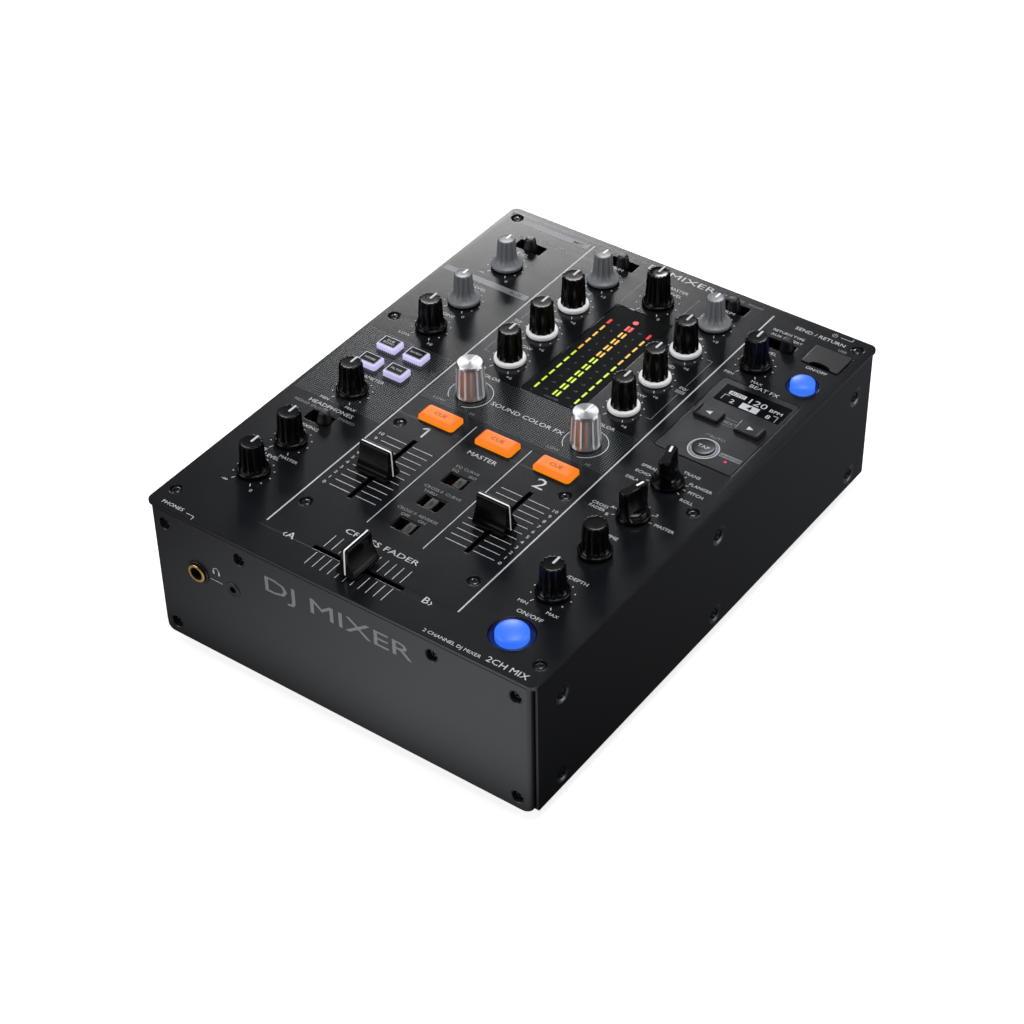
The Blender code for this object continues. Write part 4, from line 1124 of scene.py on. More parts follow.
def selector(name, turn):
    bm = bmesh.new()
    skirt = [(-10.0, 2.9), (0.6, 2.9), (0.6, 8.2), (0.9, 8.45), (2.0, 8.4), (2.4, 8.1), (2.4, 7.75),
             (2.1, 7.5), (2.6, 7.2), (4.2, 6.9), (5.0, 6.3), (5.6, 4.0)]
    turned(bm, skirt, sides=56)
    top = KNOB_TOP - 2.2
    levels = [(2.2, 5.2, 5.9, 7.5), (3.5, 3.9, 5.0, 7.5), (5.0, 3.0, 4.3, 7.4), (7.0, 2.3, 3.95, 7.35),
              (10.0, 1.8, 3.8, 7.6), (13.0, 1.6, 3.7, 7.6), (16.2, 1.7, 3.6, 7.6),
              (top - 0.5, 2.1, 3.5, 7.55), (top, 1.8, 3.2, 7.2)]
    loft(bm, [bar_loop(z, waist, end, half) for z, waist, end, half in levels])
    block(bm, 0.6, 2.3, 0.4, soft_edge(top - 0.3, top + 0.12, 0.05), 1, cy=4.1, steps=3)
    make_piece(bm, name.replace("_knob", "_cap"), [GLOSS_BLACK, WHITE_PLASTIC_PAINTED_GLOW], at(*spot(name), turn=turn),
               name, [name], crease=42)


for name, turn in SELECTORS.items():
    selector(name, turn)
print("selectors:", len(SELECTORS))

# %% [markdown]
# ## Lit buttons
#
# The orange, lilac and blue buttons are milky caps with lamps behind. A chamfered block
# drawn as a loft keeps the chamfer's width even all round. Each cap carries its lettering
# in the same mesh, so it goes down with the button.

# %% Mould the lit buttons
STEM = [(-6.6, 2.2), (-3.4, 2.2)]


def stem(bm, material, reach):
    turned(bm, STEM + [(-3.4, reach), (-2.8, reach)], material, 20)


def cue_button(name):
    bm = bmesh.new()
    levels = [(-3.0, 0.0), (1.1, 0.0), (1.35, 0.12), (2.35, 1.25), (2.55, 1.6), (2.6, 2.4)]
    block(bm, 10.7, 5.5, 1.6, levels, 0, steps=4)
    for made in bm.faces:
        if made.normal.z < 0.97 and made.calc_center_median().z > 1.2:
            made.material_index = 2
    letters(bm, "CUE", 0.0, 0.2, 2.5, 1, z=2.6)
    stem(bm, 3, 4.0)
    make_piece(bm, name.replace("_button", "_key"), [CUE_ORANGE, BURNT_INK, CUE_EDGE, HOLE_BLACK],
               at(*spot(name)), name, [name])


def color_button(name, lines):
    bm = bmesh.new()
    levels = [(-3.0, 0.0), (2.1, 0.0), (2.3, 0.1), (2.9, 0.75), (3.0, 1.1)]
    block(bm, 6.0, 4.5, 1.1, levels, 0, steps=4)
    block(bm, 5.0, 3.5, 0.5, soft_edge(2.8, 3.06, 0.03), 1, steps=3)
    face_z, pitch = 3.05, 2.1
    across, deep, line = 4.8, 3.3, 0.12
    for side in (1, -1):
        bar(bm, 0.0, side * deep, across, line, 2, z=face_z)
        bar(bm, side * across, 0.0, line, deep, 2, z=face_z)
    for row, text in enumerate(lines):
        letters(bm, text, 0.0, pitch * ((len(lines) - 1) / 2 - row), 1.45, 2, z=face_z, wide=1.2)
    stem(bm, 3, 3.4)
    make_piece(bm, f"{name}_key", [LILAC, HOLE_BLACK, WHITE_INK, HOLE_BLACK], at(*spot(name)), name,
               [name])


DOME_RISE = {"return_on_button": 4.2, "beat_on_button": 3.6}


def dome_button(name, r, hole):
    bm = bmesh.new()
    rise = DOME_RISE[name]
    base = rise - r * 0.32
    dome = [(base + r * 0.32 * math.sin(a), r * math.cos(a)) for a in
            (math.pi / 2 * i / 10 for i in range(10))]
    turned(bm, [(-3.0, r), (base - 0.3, r)] + dome + [(rise, 0.02)], 0, 56)
    collar = hole - 0.25
    turned(bm, [(-3.2, r - 0.5), (-3.2, collar), (-0.35, collar), (-0.2, collar - 0.25),
                (-1.9, r + 0.12), (-2.6, r - 0.2)], 1, 56)
    stem(bm, 2, 4.0)
    make_piece(bm, name.replace("_button", "_dome"), [BLUE, BLUE_COLLAR, HOLE_BLACK], at(*spot(name)),
               name, [name])


for name in CUES:
    cue_button(name)
for name, lines in zip(COLOR_BUTTONS, (["DUB", "ECHO"], ["SWEEP"], ["NOISE"], ["FILTER"])):
    color_button(name, lines)
for name, (r, hole) in DOMES.items():
    dome_button(name, r, hole)
print("lit buttons:", len(CUES) + len(COLOR_BUTTONS) + len(DOMES))

# %% [markdown]
# ## Slide switches
#
# Five switches have a standing lever in a slot, shaped like a small blunt wedge. Three
# more are sunk below the plate, so that they aren't moved by accident; their sliders have
# a shallow oval groove for a fingertip or a pen.

# %% Mould the levers and sliders


def lever_loop(z, hx, hy, lean):
    """The lever's rounded outline at one height, moved along the slot by its lean."""
    return [(x + lean, y, z) for x, y, _ in rounded(hx, hy, min(hx, hy) * 0.75, steps=5)]


def lever(name, hy):
    bm = bmesh.new()
    levels = [(-6.4, 1.3, 1.3, 0), (-2.6, 1.3, 1.3, 0), (-2.6, 3.7, hy - 0.5, 0), (-0.6, 3.7, hy - 0.5, 0),
              (0.6, 3.6, hy - 0.6, 0), (2.2, 3.3, 2.7, 0), (4.0, 3.0, 2.6, 0.1), (5.2, 2.7, 2.4, 0.2),
              (5.9, 2.3, 2.0, 0.2), (6.2, 1.6, 1.4, 0.2)]
    loft(bm, [lever_loop(*level) for level in levels])
    make_piece(bm, f"{name}_cap", [SATIN_BLACK], at(*spot(name)), name, [name], crease=50)


def sunk_slider(name):
    bm = bmesh.new()
    block(bm, 1.3, 1.3, 0.3, [(-6.4, 0.0), (-4.0, 0.0)], steps=2)
    block(bm, 2.3, 3.7, 0.5, [(-4.1, 0.0), (-0.7, 0.0), (-0.45, 0.2), (-0.4, 0.5)], steps=3)
    rim = [(-0.42, 1.05), (-0.22, 1.0), (-0.22, 0.8), (-0.41, 0.75)]
    loops = [[(x * r * 0.72, y * r * 1.9, z) for x, y, _ in circle(1.0, sides=28)] for z, r in rim]
    loft(bm, loops)
    make_piece(bm, f"{name}_cap", [SATIN_BLACK], at(*spot(name)), name, [name])


for name, (_, _, _, hy) in LEVERS.items():
    lever(name, hy)
for name in SUNK:
    sunk_slider(name)

# %% [markdown]
# ## Recess frames
#
# A thin dark wall stands at both ends of each slot, so that no one sees the board through
# it. The three sunk switches have a moulded frame with a bevelled lip on all four sides.

# %% Make the frames
bm = bmesh.new()
for x, y, hx, hy in LEVERS.values():
    for side in (-1, 1):
        block(bm, 0.5, hy, 0.2, [(-4.0, 0.0), (-PLATE_T + 0.05, 0.0)], 0, x + side * (hx + 0.4), y, 2)
for y in SUNK.values():
    for side in (-1, 1):
        block(bm, 0.5, SUNK_HY + 0.5, 0.2, [(-4.4, 0.0), (-0.6, 0.0), (-0.5, 0.1)], 1,
              CENTRE + side * (SUNK_HX + 0.2), y, 2)
        block(bm, SUNK_HX, 0.5, 0.2, [(-4.4, 0.0), (-0.6, 0.0), (-0.5, 0.1)], 1,
              CENTRE, y + side * (SUNK_HY + 0.2), 2)
make_piece(bm, "switch_frames", [HOLE_BLACK, SATIN_BLACK])
print("frames made")

# %% [markdown]
# ## Faders
#
# A fader cap is a wedge across its slot: two steep glossy faces, flanks that flare
# towards a foot, and a white line over the top and down both ends for reading the
# scale. Its loops are rounded rectangles with a hollow curve in their depth.

# %% Mould the fader caps


def fader(name, turn):
    bm = bmesh.new()
    half_w, foot, top_z, half_line = 9.6, 5.6, 16.8, 0.42
    block(bm, 0.5, 2.1, 0.2, [(-9.8, 0.0), (1.6, 0.0)], 2, steps=2)
    levels = [(1.2, half_w - 0.4, foot - 0.3), (1.35, half_w, foot), (2.2, half_w, foot - 0.05)]
    for i in range(9):
        share = i / 8
        levels.append((3.0 + 12.6 * share, half_w - 0.1 - 0.45 * share,
                       1.95 + (foot - 2.1) * (1 - share) ** 2.2))
    levels += [(16.3, 8.95, 1.8), (16.7, 8.7, 1.5), (top_z, 8.4, 1.2)]
    loft(bm, [rounded(hx, hy, 0.45, z, steps=3) for z, hx, hy in levels])
    block(bm, 8.75, half_line, 0.3, [(16.5, 0.0), (top_z + 0.05, 0.0)], 1, steps=2)
    for side in (-1, 1):
        for (z0, x0, _), (z1, x1, _) in zip(levels[2:], levels[3:-1]):
            corners = [bm.verts.new((side * (x + out), y, z)) for out in (0.06, -0.25)
                       for x, z in ((x0, z0), (x1, z1)) for y in (-half_line, half_line)]
            for ids in ((0, 1, 3, 2), (4, 6, 7, 5), (0, 4, 5, 1), (2, 3, 7, 6), (0, 2, 6, 4), (1, 5, 7, 3)):
                bm.faces.new([corners[i] for i in ids]).material_index = 1
    make_piece(bm, f"{name}_cap", [CAP_BLACK, WHITE_PLASTIC_PAINTED_GLOW, SATIN_BLACK], at(*spot(name), turn=turn), name,
               [name], crease=30)


for name, turn in (("ch1_fader", 0.0), ("ch2_fader", 0.0), ("crossfader", 90.0)):
    fader(name, turn)
print("faders made")

# %% [markdown]
# # Windows and displays
#
# ## Level meter
#
# The meter is a smoked window with rows of lamps behind it. A lit lamp behind dark
# plastic looks like a bright bar in a black field, so the bars are thin lit solids on
# the window's face. They stand in four columns: one for each channel, and a pair in the
# middle for the two sides of the master signal.

# %% Make the level meter
LAMP_PITCH, LAMP_FIRST = 6.55, 27.8
LAMP_COLUMNS = [-11.7, -0.5, 1.7, 12.9]
LAMP_LENGTH, LAMP_WIDTH = 4.4, 1.15
LAMP_ROWS = {"green": 6, "yellow": 4}


def meter():
    x, y, hx, hy = METER
    bm = bmesh.new()
    block(bm, hx, hy, 1.1, soft_edge(-3.4, -0.1, 0.15), 0, x, y, 4)
    row = 0
    for material, (name, count) in enumerate(LAMP_ROWS.items(), 1):
        middle = LAMP_FIRST + LAMP_PITCH * (row + (count - 1) / 2)
        rows_of_marks(bm, [(CENTRE + column - 0.2, middle) for column in LAMP_COLUMNS], 1, count, 0.0,
                      LAMP_PITCH, LAMP_WIDTH, LAMP_LENGTH, material, z=-0.1)
        print(name, "lamps:", count * len(LAMP_COLUMNS))
        row += count
    top = LAMP_FIRST + LAMP_PITCH * row
    rows_of_marks(bm, [(column, top) for column in LAMP_COLUMNS], 1, 1, 0.0, 0.0, LAMP_WIDTH + 0.4,
                  LAMP_LENGTH, 3, z=-0.1)
    ring_of_marks(bm, [(0.6, top + 6.4)], 1, 0.0, 0.0, 0.0, 3.2, 3.2, 3, sides=16, z=-0.1)
    for column in (-6.2, 7.3):
        for step, text in enumerate(("-24", "-18", "-12", "-9", "-6", "-3", "0", "2", "4", "7", "10")):
            letters(bm, text, column, LAMP_FIRST + LAMP_PITCH * step, 1.3, 4, z=-0.1)
    for column, text in ((-11.7, "1"), (12.9, "2"), (0.6, "MASTER")):
        letters(bm, text, column, 22.9, 1.5, 4, z=-0.1)
    return make_piece(bm, "level_meter", [WINDOW, LAMP_GREEN, LAMP_YELLOW, LAMP_RED, DIM_INK],
                      stands_for=["meter_window"])


meter()

# %% [markdown]
# ## Effects panel
#
# The effects panel is satin plastic with its own small display, two rocker buttons and
# a tap button. The display shows the beat count and the length of the effect. What it
# shows is drawn here as thin lit shapes on a black glass pane.

# %% Make the effects panel


def effects_panel():
    x, y, hx, hy = EFFECTS
    arrows = [spot("beat_left_button"), spot("beat_right_button")]
    tap_x, tap_y = spot("tap_button")
    bm = bmesh.new()
    holes = [box_hole(ax, ay, 7.25, 4.45, 0.7) for ax, ay in arrows] + [circle(6.15, 0, 48, tap_x, tap_y)]
    panel = bmesh.new()
    punched_sheet(panel, rounded(hx, hy, 1.2, cx=x, cy=y, steps=4), holes, 2.1, 0.2)
    panel.transform(Matrix.Translation((0, 0, 0.2)))
    mesh = bpy.data.meshes.new("panel")
    panel.to_mesh(mesh)
    panel.free()
    bm.from_mesh(mesh)
    top = 0.2
    pane_x, pane_y, pane_hx, pane_hy = 86.5, 75.6, 19.2, 7.2
    block(bm, pane_hx, pane_hy, 0.6, soft_edge(top - 0.4, top + 0.12, 0.1), 1, pane_x, pane_y, 3)
    lit = top + 0.12
    bar(bm, 76.8, 77.4, 4.8, 1.4, 2, z=lit)
    letters(bm, "AUTO", 76.8, 77.4, 1.8, 1, z=lit + INK, bold=0.02)
    letters(bm, "120", 88.6, 76.9, 4.2, 2, z=lit, wide=1.35)
    letters(bm, "BPM", 100.0, 76.0, 2.3, 2, z=lit, wide=1.3)
    for side, low in ((-1, 70.6), (1, 68.9)):
        edge = 87.0 + side * 16.0
        stroke(bm, [(edge, low + 4.2), (edge, low)], 0.25, 2, z=lit)
        stroke(bm, [(edge, low + 4.2), (edge - side * 2.6, low + 4.2)], 0.25, 2, z=lit)
    letters(bm, "2", 77.0, 71.6, 3.0, 2, z=lit, wide=1.3)
    bar(bm, 87.2, 71.4, 5.1, 2.3, 2, z=lit)
    letters(bm, "4", 87.2, 71.4, 3.2, 1, z=lit + INK, bold=0.03)
    letters(bm, "8", 98.3, 70.8, 3.0, 2, z=lit, wide=1.3)
    for side in (-1, 1):
        stroke(bm, [(81.6, 56.0 + side * 2.6), (88.8, 56.0 + side * 2.6)], 0.22, 3, z=top)
    letters(bm, "BEAT", 85.5, 55.8, 2.1, 3, z=top)
    letters(bm, "AUTO", 86.9, 42.2, 2.0, 3, z=top)
    stroke(bm, [(80.4, 41.6), (80.4, 42.8), (82.8, 42.8)], 0.22, 3, z=top)
    ring = [(top, 8.1), (top + INK, 8.1), (top + INK, 7.6), (top, 7.6)]
    turned(bm, ring, 2, 64, tap_x, tap_y)
    bar(bm, 100.2, 32.7, 6.0, 1.4, 3, z=top)
    letters(bm, "QUANTIZE", 100.2, 32.7, 1.6, 0, z=top + INK, bold=0.02, wide=1.05)
    ring_of_marks(bm, [(99.6, 28.9)], 1, 0.0, 0.0, 0.0, 1.6, 1.6, 4, sides=14, z=top)
    return make_piece(bm, "effects_plate", [PANEL_SATIN, SCREEN, SCREEN_LIT, GREY_INK, LAMP_PINK],
                      stands_for=["effects_panel"])


effects_panel()


def arrow_button(name, points_to):
    """A rocker with a raised outer edge and a printed arrowhead."""
    bm = bmesh.new()
    block(bm, 7.0, 4.2, 0.6, [(-3.0, 0.0), (1.5, 0.0), (1.8, 0.15), (1.9, 0.45)], steps=3)
    block(bm, 0.45, 3.9, 0.3, soft_edge(1.8, 2.5, 0.15), 0, points_to * 6.3, 0.0, 3)
    tip = [(points_to * 2.0, 0.0), (-points_to * 1.4, 1.5), (-points_to * 1.4, -1.5)]
    loft(bm, [[(px, py, z) for px, py in tip] for z in (1.88, 1.88 + INK)], 1)
    stem(bm, 2, 4.0)
    make_piece(bm, name.replace("_button", "_key"), [PANEL_SATIN, WHITE_INK, HOLE_BLACK], at(*spot(name)),
               name, [name])


arrow_button("beat_left_button", -1)
arrow_button("beat_right_button", 1)
bm = bmesh.new()
turned(bm, [(-3.0, 6.0), (1.2, 6.0), (1.5, 5.9), (1.65, 5.6), (1.5, 4.6), (1.45, 0.02)], 0, 56)
letters(bm, "TAP", 0.0, 0.0, 2.3, 1, z=1.47)
stem(bm, 2, 4.0)
make_piece(bm, "tap_key", [PANEL_SATIN, WHITE_INK, HOLE_BLACK], at(*spot("tap_button")), "tap_button",
           ["tap_button"])

# %% [markdown]
# ## USB lid
#
# A flush lid covers the USB socket. It has a finger notch in its front edge, so its
# outline is an arc cut from a rectangle, lofted with a soft top edge.

# %% Make the lid


def lid_loop(z, shrink):
    notch_w, notch_d, steps = 6.0 + shrink, 3.0 + shrink, 12
    hx, hy = LID[2] - shrink, LID[3] - shrink
    arc = [(-notch_w * math.cos(math.pi * i / steps), -hy + notch_d * math.sin(math.pi * i / steps))
           for i in range(steps + 1)]
    corner = [(px, py) for px, py, _ in rounded(hx, hy, 0.9 - shrink * 0.5, steps=4)]
    back = corner[:10]                      # round the two corners behind, right to left
    front_left, front_right = corner[10:15], corner[15:]
    return [(px, py, z) for px, py in back + front_left + arc + front_right]


bm = bmesh.new()
loft(bm, [lid_loop(z, s) for z, s in ((-1.0, 0.2), (-0.8, 0.0), (0.3, 0.0), (0.52, 0.1), (0.6, 0.35))])
make_piece(bm, "usb_cover", [SATIN_BLACK], at(*LID[:2]), "usb_lid", ["usb_lid"])
print("lid made")

# %% [markdown]
# # Printing on the plate
#
# The lettering is generic: it names functions, never a maker. It follows the panel's
# own order: a name stands behind each knob, its end values stand at its lower corners,
# and a ring of ticks runs round it. Everything in one ink is one piece.

# %% Ticks round the knobs
white, grey, dim, pattern = bmesh.new(), bmesh.new(), bmesh.new(), bmesh.new()


def ticks(points, reach=10.2):
    """Dots every thirty degrees, with short lines at both ends of the travel."""
    ring_of_marks(white, points, 9, reach, -30, 30, 0.75, 0.75, sides=8)
    ring_of_marks(white, points, 2, reach + 0.4, -60, 300, 2.0, 0.42, sides=4)


TICKED = [n for style in ("black", "grey", "large", "ringed") for n in ROUND_KNOBS[style]]
ticks([spot(n) for n in TICKED if n != "master_level_knob"])
ticks([spot("master_level_knob")], 11.2)

# %% [markdown]
# The colour knobs have an arc instead of dots, open at the front left.

# %% Arcs


def arc_line(bm, x, y, r, first, last, width=0.4):
    steps = 28
    bearings = [math.radians(first + (last - first) * i / steps) for i in range(steps + 1)]
    outer = [(x + (r + width) * math.cos(a), y + (r + width) * math.sin(a)) for a in bearings]
    inner = [(x + r * math.cos(a), y + r * math.sin(a)) for a in reversed(bearings)]
    loft(bm, [[(px, py, z) for px, py in outer + inner] for z in (0.0, INK)])


for name in ROUND_KNOBS["silver"]:
    x, y = spot(name)
    arc_line(white, x, y, 11.3, -78, 228)
    letters(grey, "LOW", x - 10.8, y - 12.3, 1.9)
    letters(grey, "HI", x + 10.4, y - 13.2, 1.9)
    letters(white, "COLOR", x, y + 16.5, 2.3)

# %% [markdown]
# ## Names and end values
#
# One table holds each knob's name and its two end values, since they keep the same
# places round every knob.

# %% Names of the knobs
NAMES = {
    "mic_level_knob": ("LEVEL", "-∞", "0"),
    "aux_level_knob": ("LEVEL", "-∞", "0"),
    "mic_tone_knob": ("TONE", "LOW", "HI"),
    "color_parameter_knob": ("PARAMETER", "MIN", "MAX"),
    "headphones_mixing_knob": ("MIXING", "CUE", "MASTER"),
    "headphones_level_knob": ("LEVEL", "-∞", "0"),
    "master_level_knob": ("", "-∞", "0"),      # its name is one of the headings
    "return_level_knob": ("LEVEL", "MIN", "MAX"),
    "beat_depth_knob": ("LEVEL/DEPTH", "MIN", "MAX"),
}
for channel in ("ch1", "ch2"):
    NAMES[f"{channel}_trim_knob"] = ("TRIM", "-∞", "+9")
    for band in ("hi", "mid", "low"):
        NAMES[f"{channel}_{band}_knob"] = (band.upper(), "-26", "+6")
BEHIND = 13.6          # how far behind its knob a name stands
END_ACROSS, END_BACK, END_CAP = 8.2, -12.2, 1.95
for node_name, (title, low, high) in NAMES.items():
    x, y = spot(node_name)
    if title:
        letters(white, title, x, y + BEHIND, 2.2)
    letters(white, low, x - END_ACROSS, y + END_BACK, END_CAP)
    letters(white, high, x + END_ACROSS, y + END_BACK, END_CAP)
tx, ty = spot("beat_time_knob")
letters(white, "TIME", tx, ty + BEHIND, 2.2)
print("named knobs:", len(NAMES))

# %% [markdown]
# ## Lines and headings
#
# Long lines divide the panel into its strips. Headings in capitals name each group, and
# grey bands with dark letters name the two inputs of the left column.

# %% Lines, headings and bands
EDGE_LINE, LINE_BACK, LINE_FRONT = 56.6, 145.6, -131.0
for side in (-1, 1):
    stroke(white, [(side * EDGE_LINE, LINE_BACK), (side * EDGE_LINE, LINE_FRONT)], 0.75)
for x in (-16.4, 17.0):
    stroke(white, [(x, -17.5), (x, -105.5)], 0.45)
    stroke(grey, [(x, 111.5), (x, 135.5)], 0.3)
for side in (-1, 1):
    x = CENTRE + side * 51.1
    stroke(grey, [(x - side * 3.0, 94.0), (x, 94.0), (x, 69.0)], 0.3)
    stroke(grey, [(x, 61.0), (x, 36.5), (x - side * 3.0, 36.5)], 0.3)
    letters(white, "EQ/", x, 66.8, 1.9)
    bar(grey, x, 63.4, 2.6, 1.2)
    letters(dim, "ISO", x, 63.4, 1.6, z=INK)
HEADINGS = [("2", CENTRE + STRIP, -35.5, 7.8, 1.3), ("MASTER", CENTRE, -35.5, 2.9, 1.2),
            ("HEADPHONES", -85.5, -46.6, 2.7, 1.15), ("BEAT FX", 85.7, 88.2, 2.7, 1.2),
            ("CROSS FADER", 0.5, -115.5, 3.4, 1.45), ("ON/OFF", 98.7, 117.5, 2.1, 1.15),
            ("ON/OFF", 84.8, -114.6, 2.5, 1.15), ("SEND / RETURN", 85.9, 143.8, 2.6, 1.15),
            ("DJ MIXER", -1.2, 147.0, 4.3, 1.72), ("MASTER", 3.2, 136.6, 2.2, 1.15),
            ("LEVEL", 3.6, 132.2, 2.2, 1.15)]
for text, x, y, cap, wide in HEADINGS:
    letters(white, text, x, y, cap, wide=wide)
letters(white, "SOUND COLOR FX", CENTRE, 2.5, 2.9, wide=1.25)
one_x, one_y = CENTRE - STRIP, -35.5
stroke(white, [(one_x + 0.5, one_y - 3.9), (one_x + 0.5, one_y + 3.7), (one_x - 2.2, one_y + 1.9)], 1.05)
for text, y, reach in (("MIC", 143.2, 22.0), ("AUX", 85.2, 27.0)):
    bar(grey, -58.6 - reach, y, reach, 2.2, r=0.3)
    letters(dim, text, -62.0, y, 2.4, z=INK, bold=0.02, align="RIGHT")
SMALL = [("OFF", -96.0, 131.4), ("ON", -85.0, 131.4), ("TALK OVER", -74.0, 133.6),
         ("MONO SPLIT", -97.5, -50.2), ("STEREO", -72.4, -51.0), ("RETURN TYPE", 71.5, 136.2),
         ("AUX", 66.4, 132.4), ("INSERT", 77.0, 132.4), ("EQ CURVE", CENTRE, -47.3),
         ("CROSS F. CURVE", CENTRE, -67.6), ("CROSS F. REVERSE", CENTRE, -87.6),
         ("OFF", -4.6, -90.8), ("ON", 5.2, -90.8), ("EQ", -4.6, -50.6), ("ISO", 5.6, -50.6),
         ("THRU", -4.8, -70.8), ("USB", 101.5, 139.2)]
IN_WHITE = ("RETURN TYPE", "AUX", "INSERT")
for text, x, y in SMALL:
    letters(white if text in IN_WHITE else grey, text, x, y, 1.85)
for side, label in ((-1, "1"), (1, "2")):
    x = CENTRE + side * STRIP
    letters(grey, "USB A", x - 9.0, 147.4, 1.6)
    letters(grey, "LINE", x, 147.4, 1.6)
    letters(grey, "PHONO", x + 9.5, 147.4, 1.6)
print("headings:", len(HEADINGS) + len(SMALL))

# %% [markdown]
# ## Fader scales
#
# Eleven lines cross each channel fader's slot, numbered from 0 to 10 on the outer side.
# Each line is broken at the slot. The crossfader has eleven lines of its own.

# %% Scales of the faders
SCALE_PITCH, SCALE_MIDDLE = 4.5, -70.8
for side in (-1, 1):
    x = CENTRE + side * STRIP
    for half in (-1, 1):
        rows_of_marks(white, [(x + half * 8.0, SCALE_MIDDLE)], 1, 11, 0.0, SCALE_PITCH, 12.2, 0.34)
    for number in range(11):
        letters(white, str(number), x + side * 17.4, SCALE_MIDDLE + SCALE_PITCH * (number - 5), 2.2)
for half in (-1, 1):
    rows_of_marks(white, [(CENTRE, CROSS_Y + half * 7.2)], 11, 1, SCALE_PITCH, 0.0, 0.34, 9.4)
letters(white, "‹A", -41.0, CROSS_Y, 4.3)
letters(white, "B›", 41.0, CROSS_Y, 4.3)

# %% [markdown]
# ## Effects around the selectors
#
# The names of the effects fan out to both sides of their click lines.

# %% Names at the selectors
EFFECT_NAMES = {
    "beat_select_knob": [("SPIRAL", 71.5, 5.0), ("ECHO", 70.9, -0.2), ("DELAY", 69.8, -6.5),
                         ("TRANS", 91.8, 11.3), ("FLANGER", 100.5, 5.3), ("PITCH", 101.2, -0.3),
                         ("ROLL", 100.2, -7.0)],
    "beat_channel_knob": [("CROSS", 67.3, -31.6), ("FADER", 67.3, -34.4), ("A", 73.4, -29.8),
                          ("B", 73.8, -35.8), ("1", 88.0, -20.5), ("2", 94.2, -23.4),
                          ("MASTER", 102.2, -29.5)],
}
for name, labels in EFFECT_NAMES.items():
    middle = Vector(spot(name))
    for text, x, y in labels:
        letters(white, text, x, y, 2.0, wide=1.1)
        toward = (Vector((x, y)) - middle).normalized()
        if text not in ("CROSS", "FADER"):
            stroke(white, [middle + toward * 9.0, middle + toward * 10.3], 0.32)
letters(white, "PHONES", -100.6, -148.7, 2.2)
stroke(white, [(-91.5, -149.4), (-86.7, -149.4), (-86.7, -151.8)], 0.3)
letters(white, "2 CHANNEL DJ MIXER", 66.6, -149.4, 2.05)
letters(white, "2CH MIX", 96.6, -148.2, 3.6, wide=1.15)
power_x, power_y = 91.6, 149.0
arc_line(white, power_x, power_y, 1.2, 120, 420, 0.25)
stroke(white, [(power_x, power_y), (power_x, power_y + 1.7)], 0.3)
stroke(white, [(95.0, power_y), (101.5, power_y), (101.5, power_y + 2.2)], 0.3)
print("panel lettering done")

# %% [markdown]
# ## Pattern of fine dots
#
# Two areas of the plate carry a screen of fine dots in a dark grey ink: behind the colour
# buttons and across the middle. One tree call sets out each area's rows.

# %% Fine dot pattern
DOT_PITCH, DOT = 1.3, 0.62
for left, right, low, high in ((-113.0, -57.6, -43.0, 20.0), (-55.5, 55.5, -13.0, 20.0)):
    columns, rows = int((right - left) / DOT_PITCH), int((high - low) / DOT_PITCH)
    middle = ((left + right) / 2, (low + high) / 2)
    rows_of_marks(pattern, [middle], columns, rows, DOT_PITCH, DOT_PITCH, DOT, DOT, sides=4, thick=0.02)
for drawing, name, ink in ((white, "white_printing", WHITE_INK), (grey, "grey_printing", GREY_INK),
                           (dim, "band_lettering", DARK_INK), (pattern, "dot_pattern", PATTERN_DOT)):
    print(name, "faces:", len(make_piece(drawing, name, [ink]).data.polygons))

# %% [markdown]
# # Sockets
#
# ## Headphone sockets in the front
#
# The large socket has a gold ring in a black collar; the small one is a dark ring. Both
# have a real bore, drawn as part of the turned profile.

# %% Make the headphone sockets


def bored(bm, outside, bore, bottom, material=0, inner=1, sides=48, cx=0.0, cy=0.0):
    """A turned ring with a bore: the bore is a second, inner material."""
    low = outside[0][0]
    turned(bm, [(low, 0.02), *outside, (outside[-1][0], bore), (bottom, bore), (bottom, 0.02)],
           material, sides, cx, cy)
    turned(bm, [(bottom + 0.05, 0.02), (bottom + 0.05, bore - 0.05), (bottom + 0.4, bore - 0.05),
                (bottom + 0.4, 0.02)], inner, 24, cx, cy)


bm = bmesh.new()
x, y = BIG_JACK
bored(bm, [(-6.0, 6.6), (0.4, 6.6), (0.8, 6.3), (0.8, 5.75)], 5.6, -2.0, 2, 1, cx=x, cy=y)
bored(bm, [(-3.0, 5.2), (1.3, 5.2), (1.62, 5.0), (1.75, 4.7), (1.7, 4.0)], 3.8, -14.0, 0, 1, cx=x, cy=y)
x, y = SMALL_JACK
bored(bm, [(-5.0, 4.45), (0.2, 4.45), (0.38, 4.2), (0.35, 3.5), (0.1, 2.6)], 1.9, -10.0, 2, 1, cx=x, cy=y)
make_piece(bm, "headphone_sockets", [GOLD, HOLE_BLACK, SATIN_BLACK], FRONT)

bm = bmesh.new()
x, y = -72.9, 56.4
arc_line(bm, x, y, 1.7, -10, 190, 0.35)
for side in (-1, 1):
    bar(bm, x + side * 1.7, y - 1.0, 0.55, 1.1, r=0.3)
stroke(bm, [(-77.0, 50.0), (-69.5, 50.0)], 0.3)
letters(bm, "DJ MIXER", 1.4, 65.8, 9.6, 1, wide=1.62)
make_piece(bm, "front_printing", [WHITE_INK, GREY_INK], FRONT)
print("front sockets and lettering made")

# %% [markdown]
# ## Sockets in the back wall
#
# The back wall holds two balanced outputs with pins, one microphone socket, four large
# jacks, ten phono sockets, an earth terminal, the mains inlet and the power button. The
# phono sleeves are alike, so a tree sets them out; the others are turned one by one.

# %% Make the back sockets


def seen(x, y):
    """A place on the back wall as seen from behind."""
    return -x, y


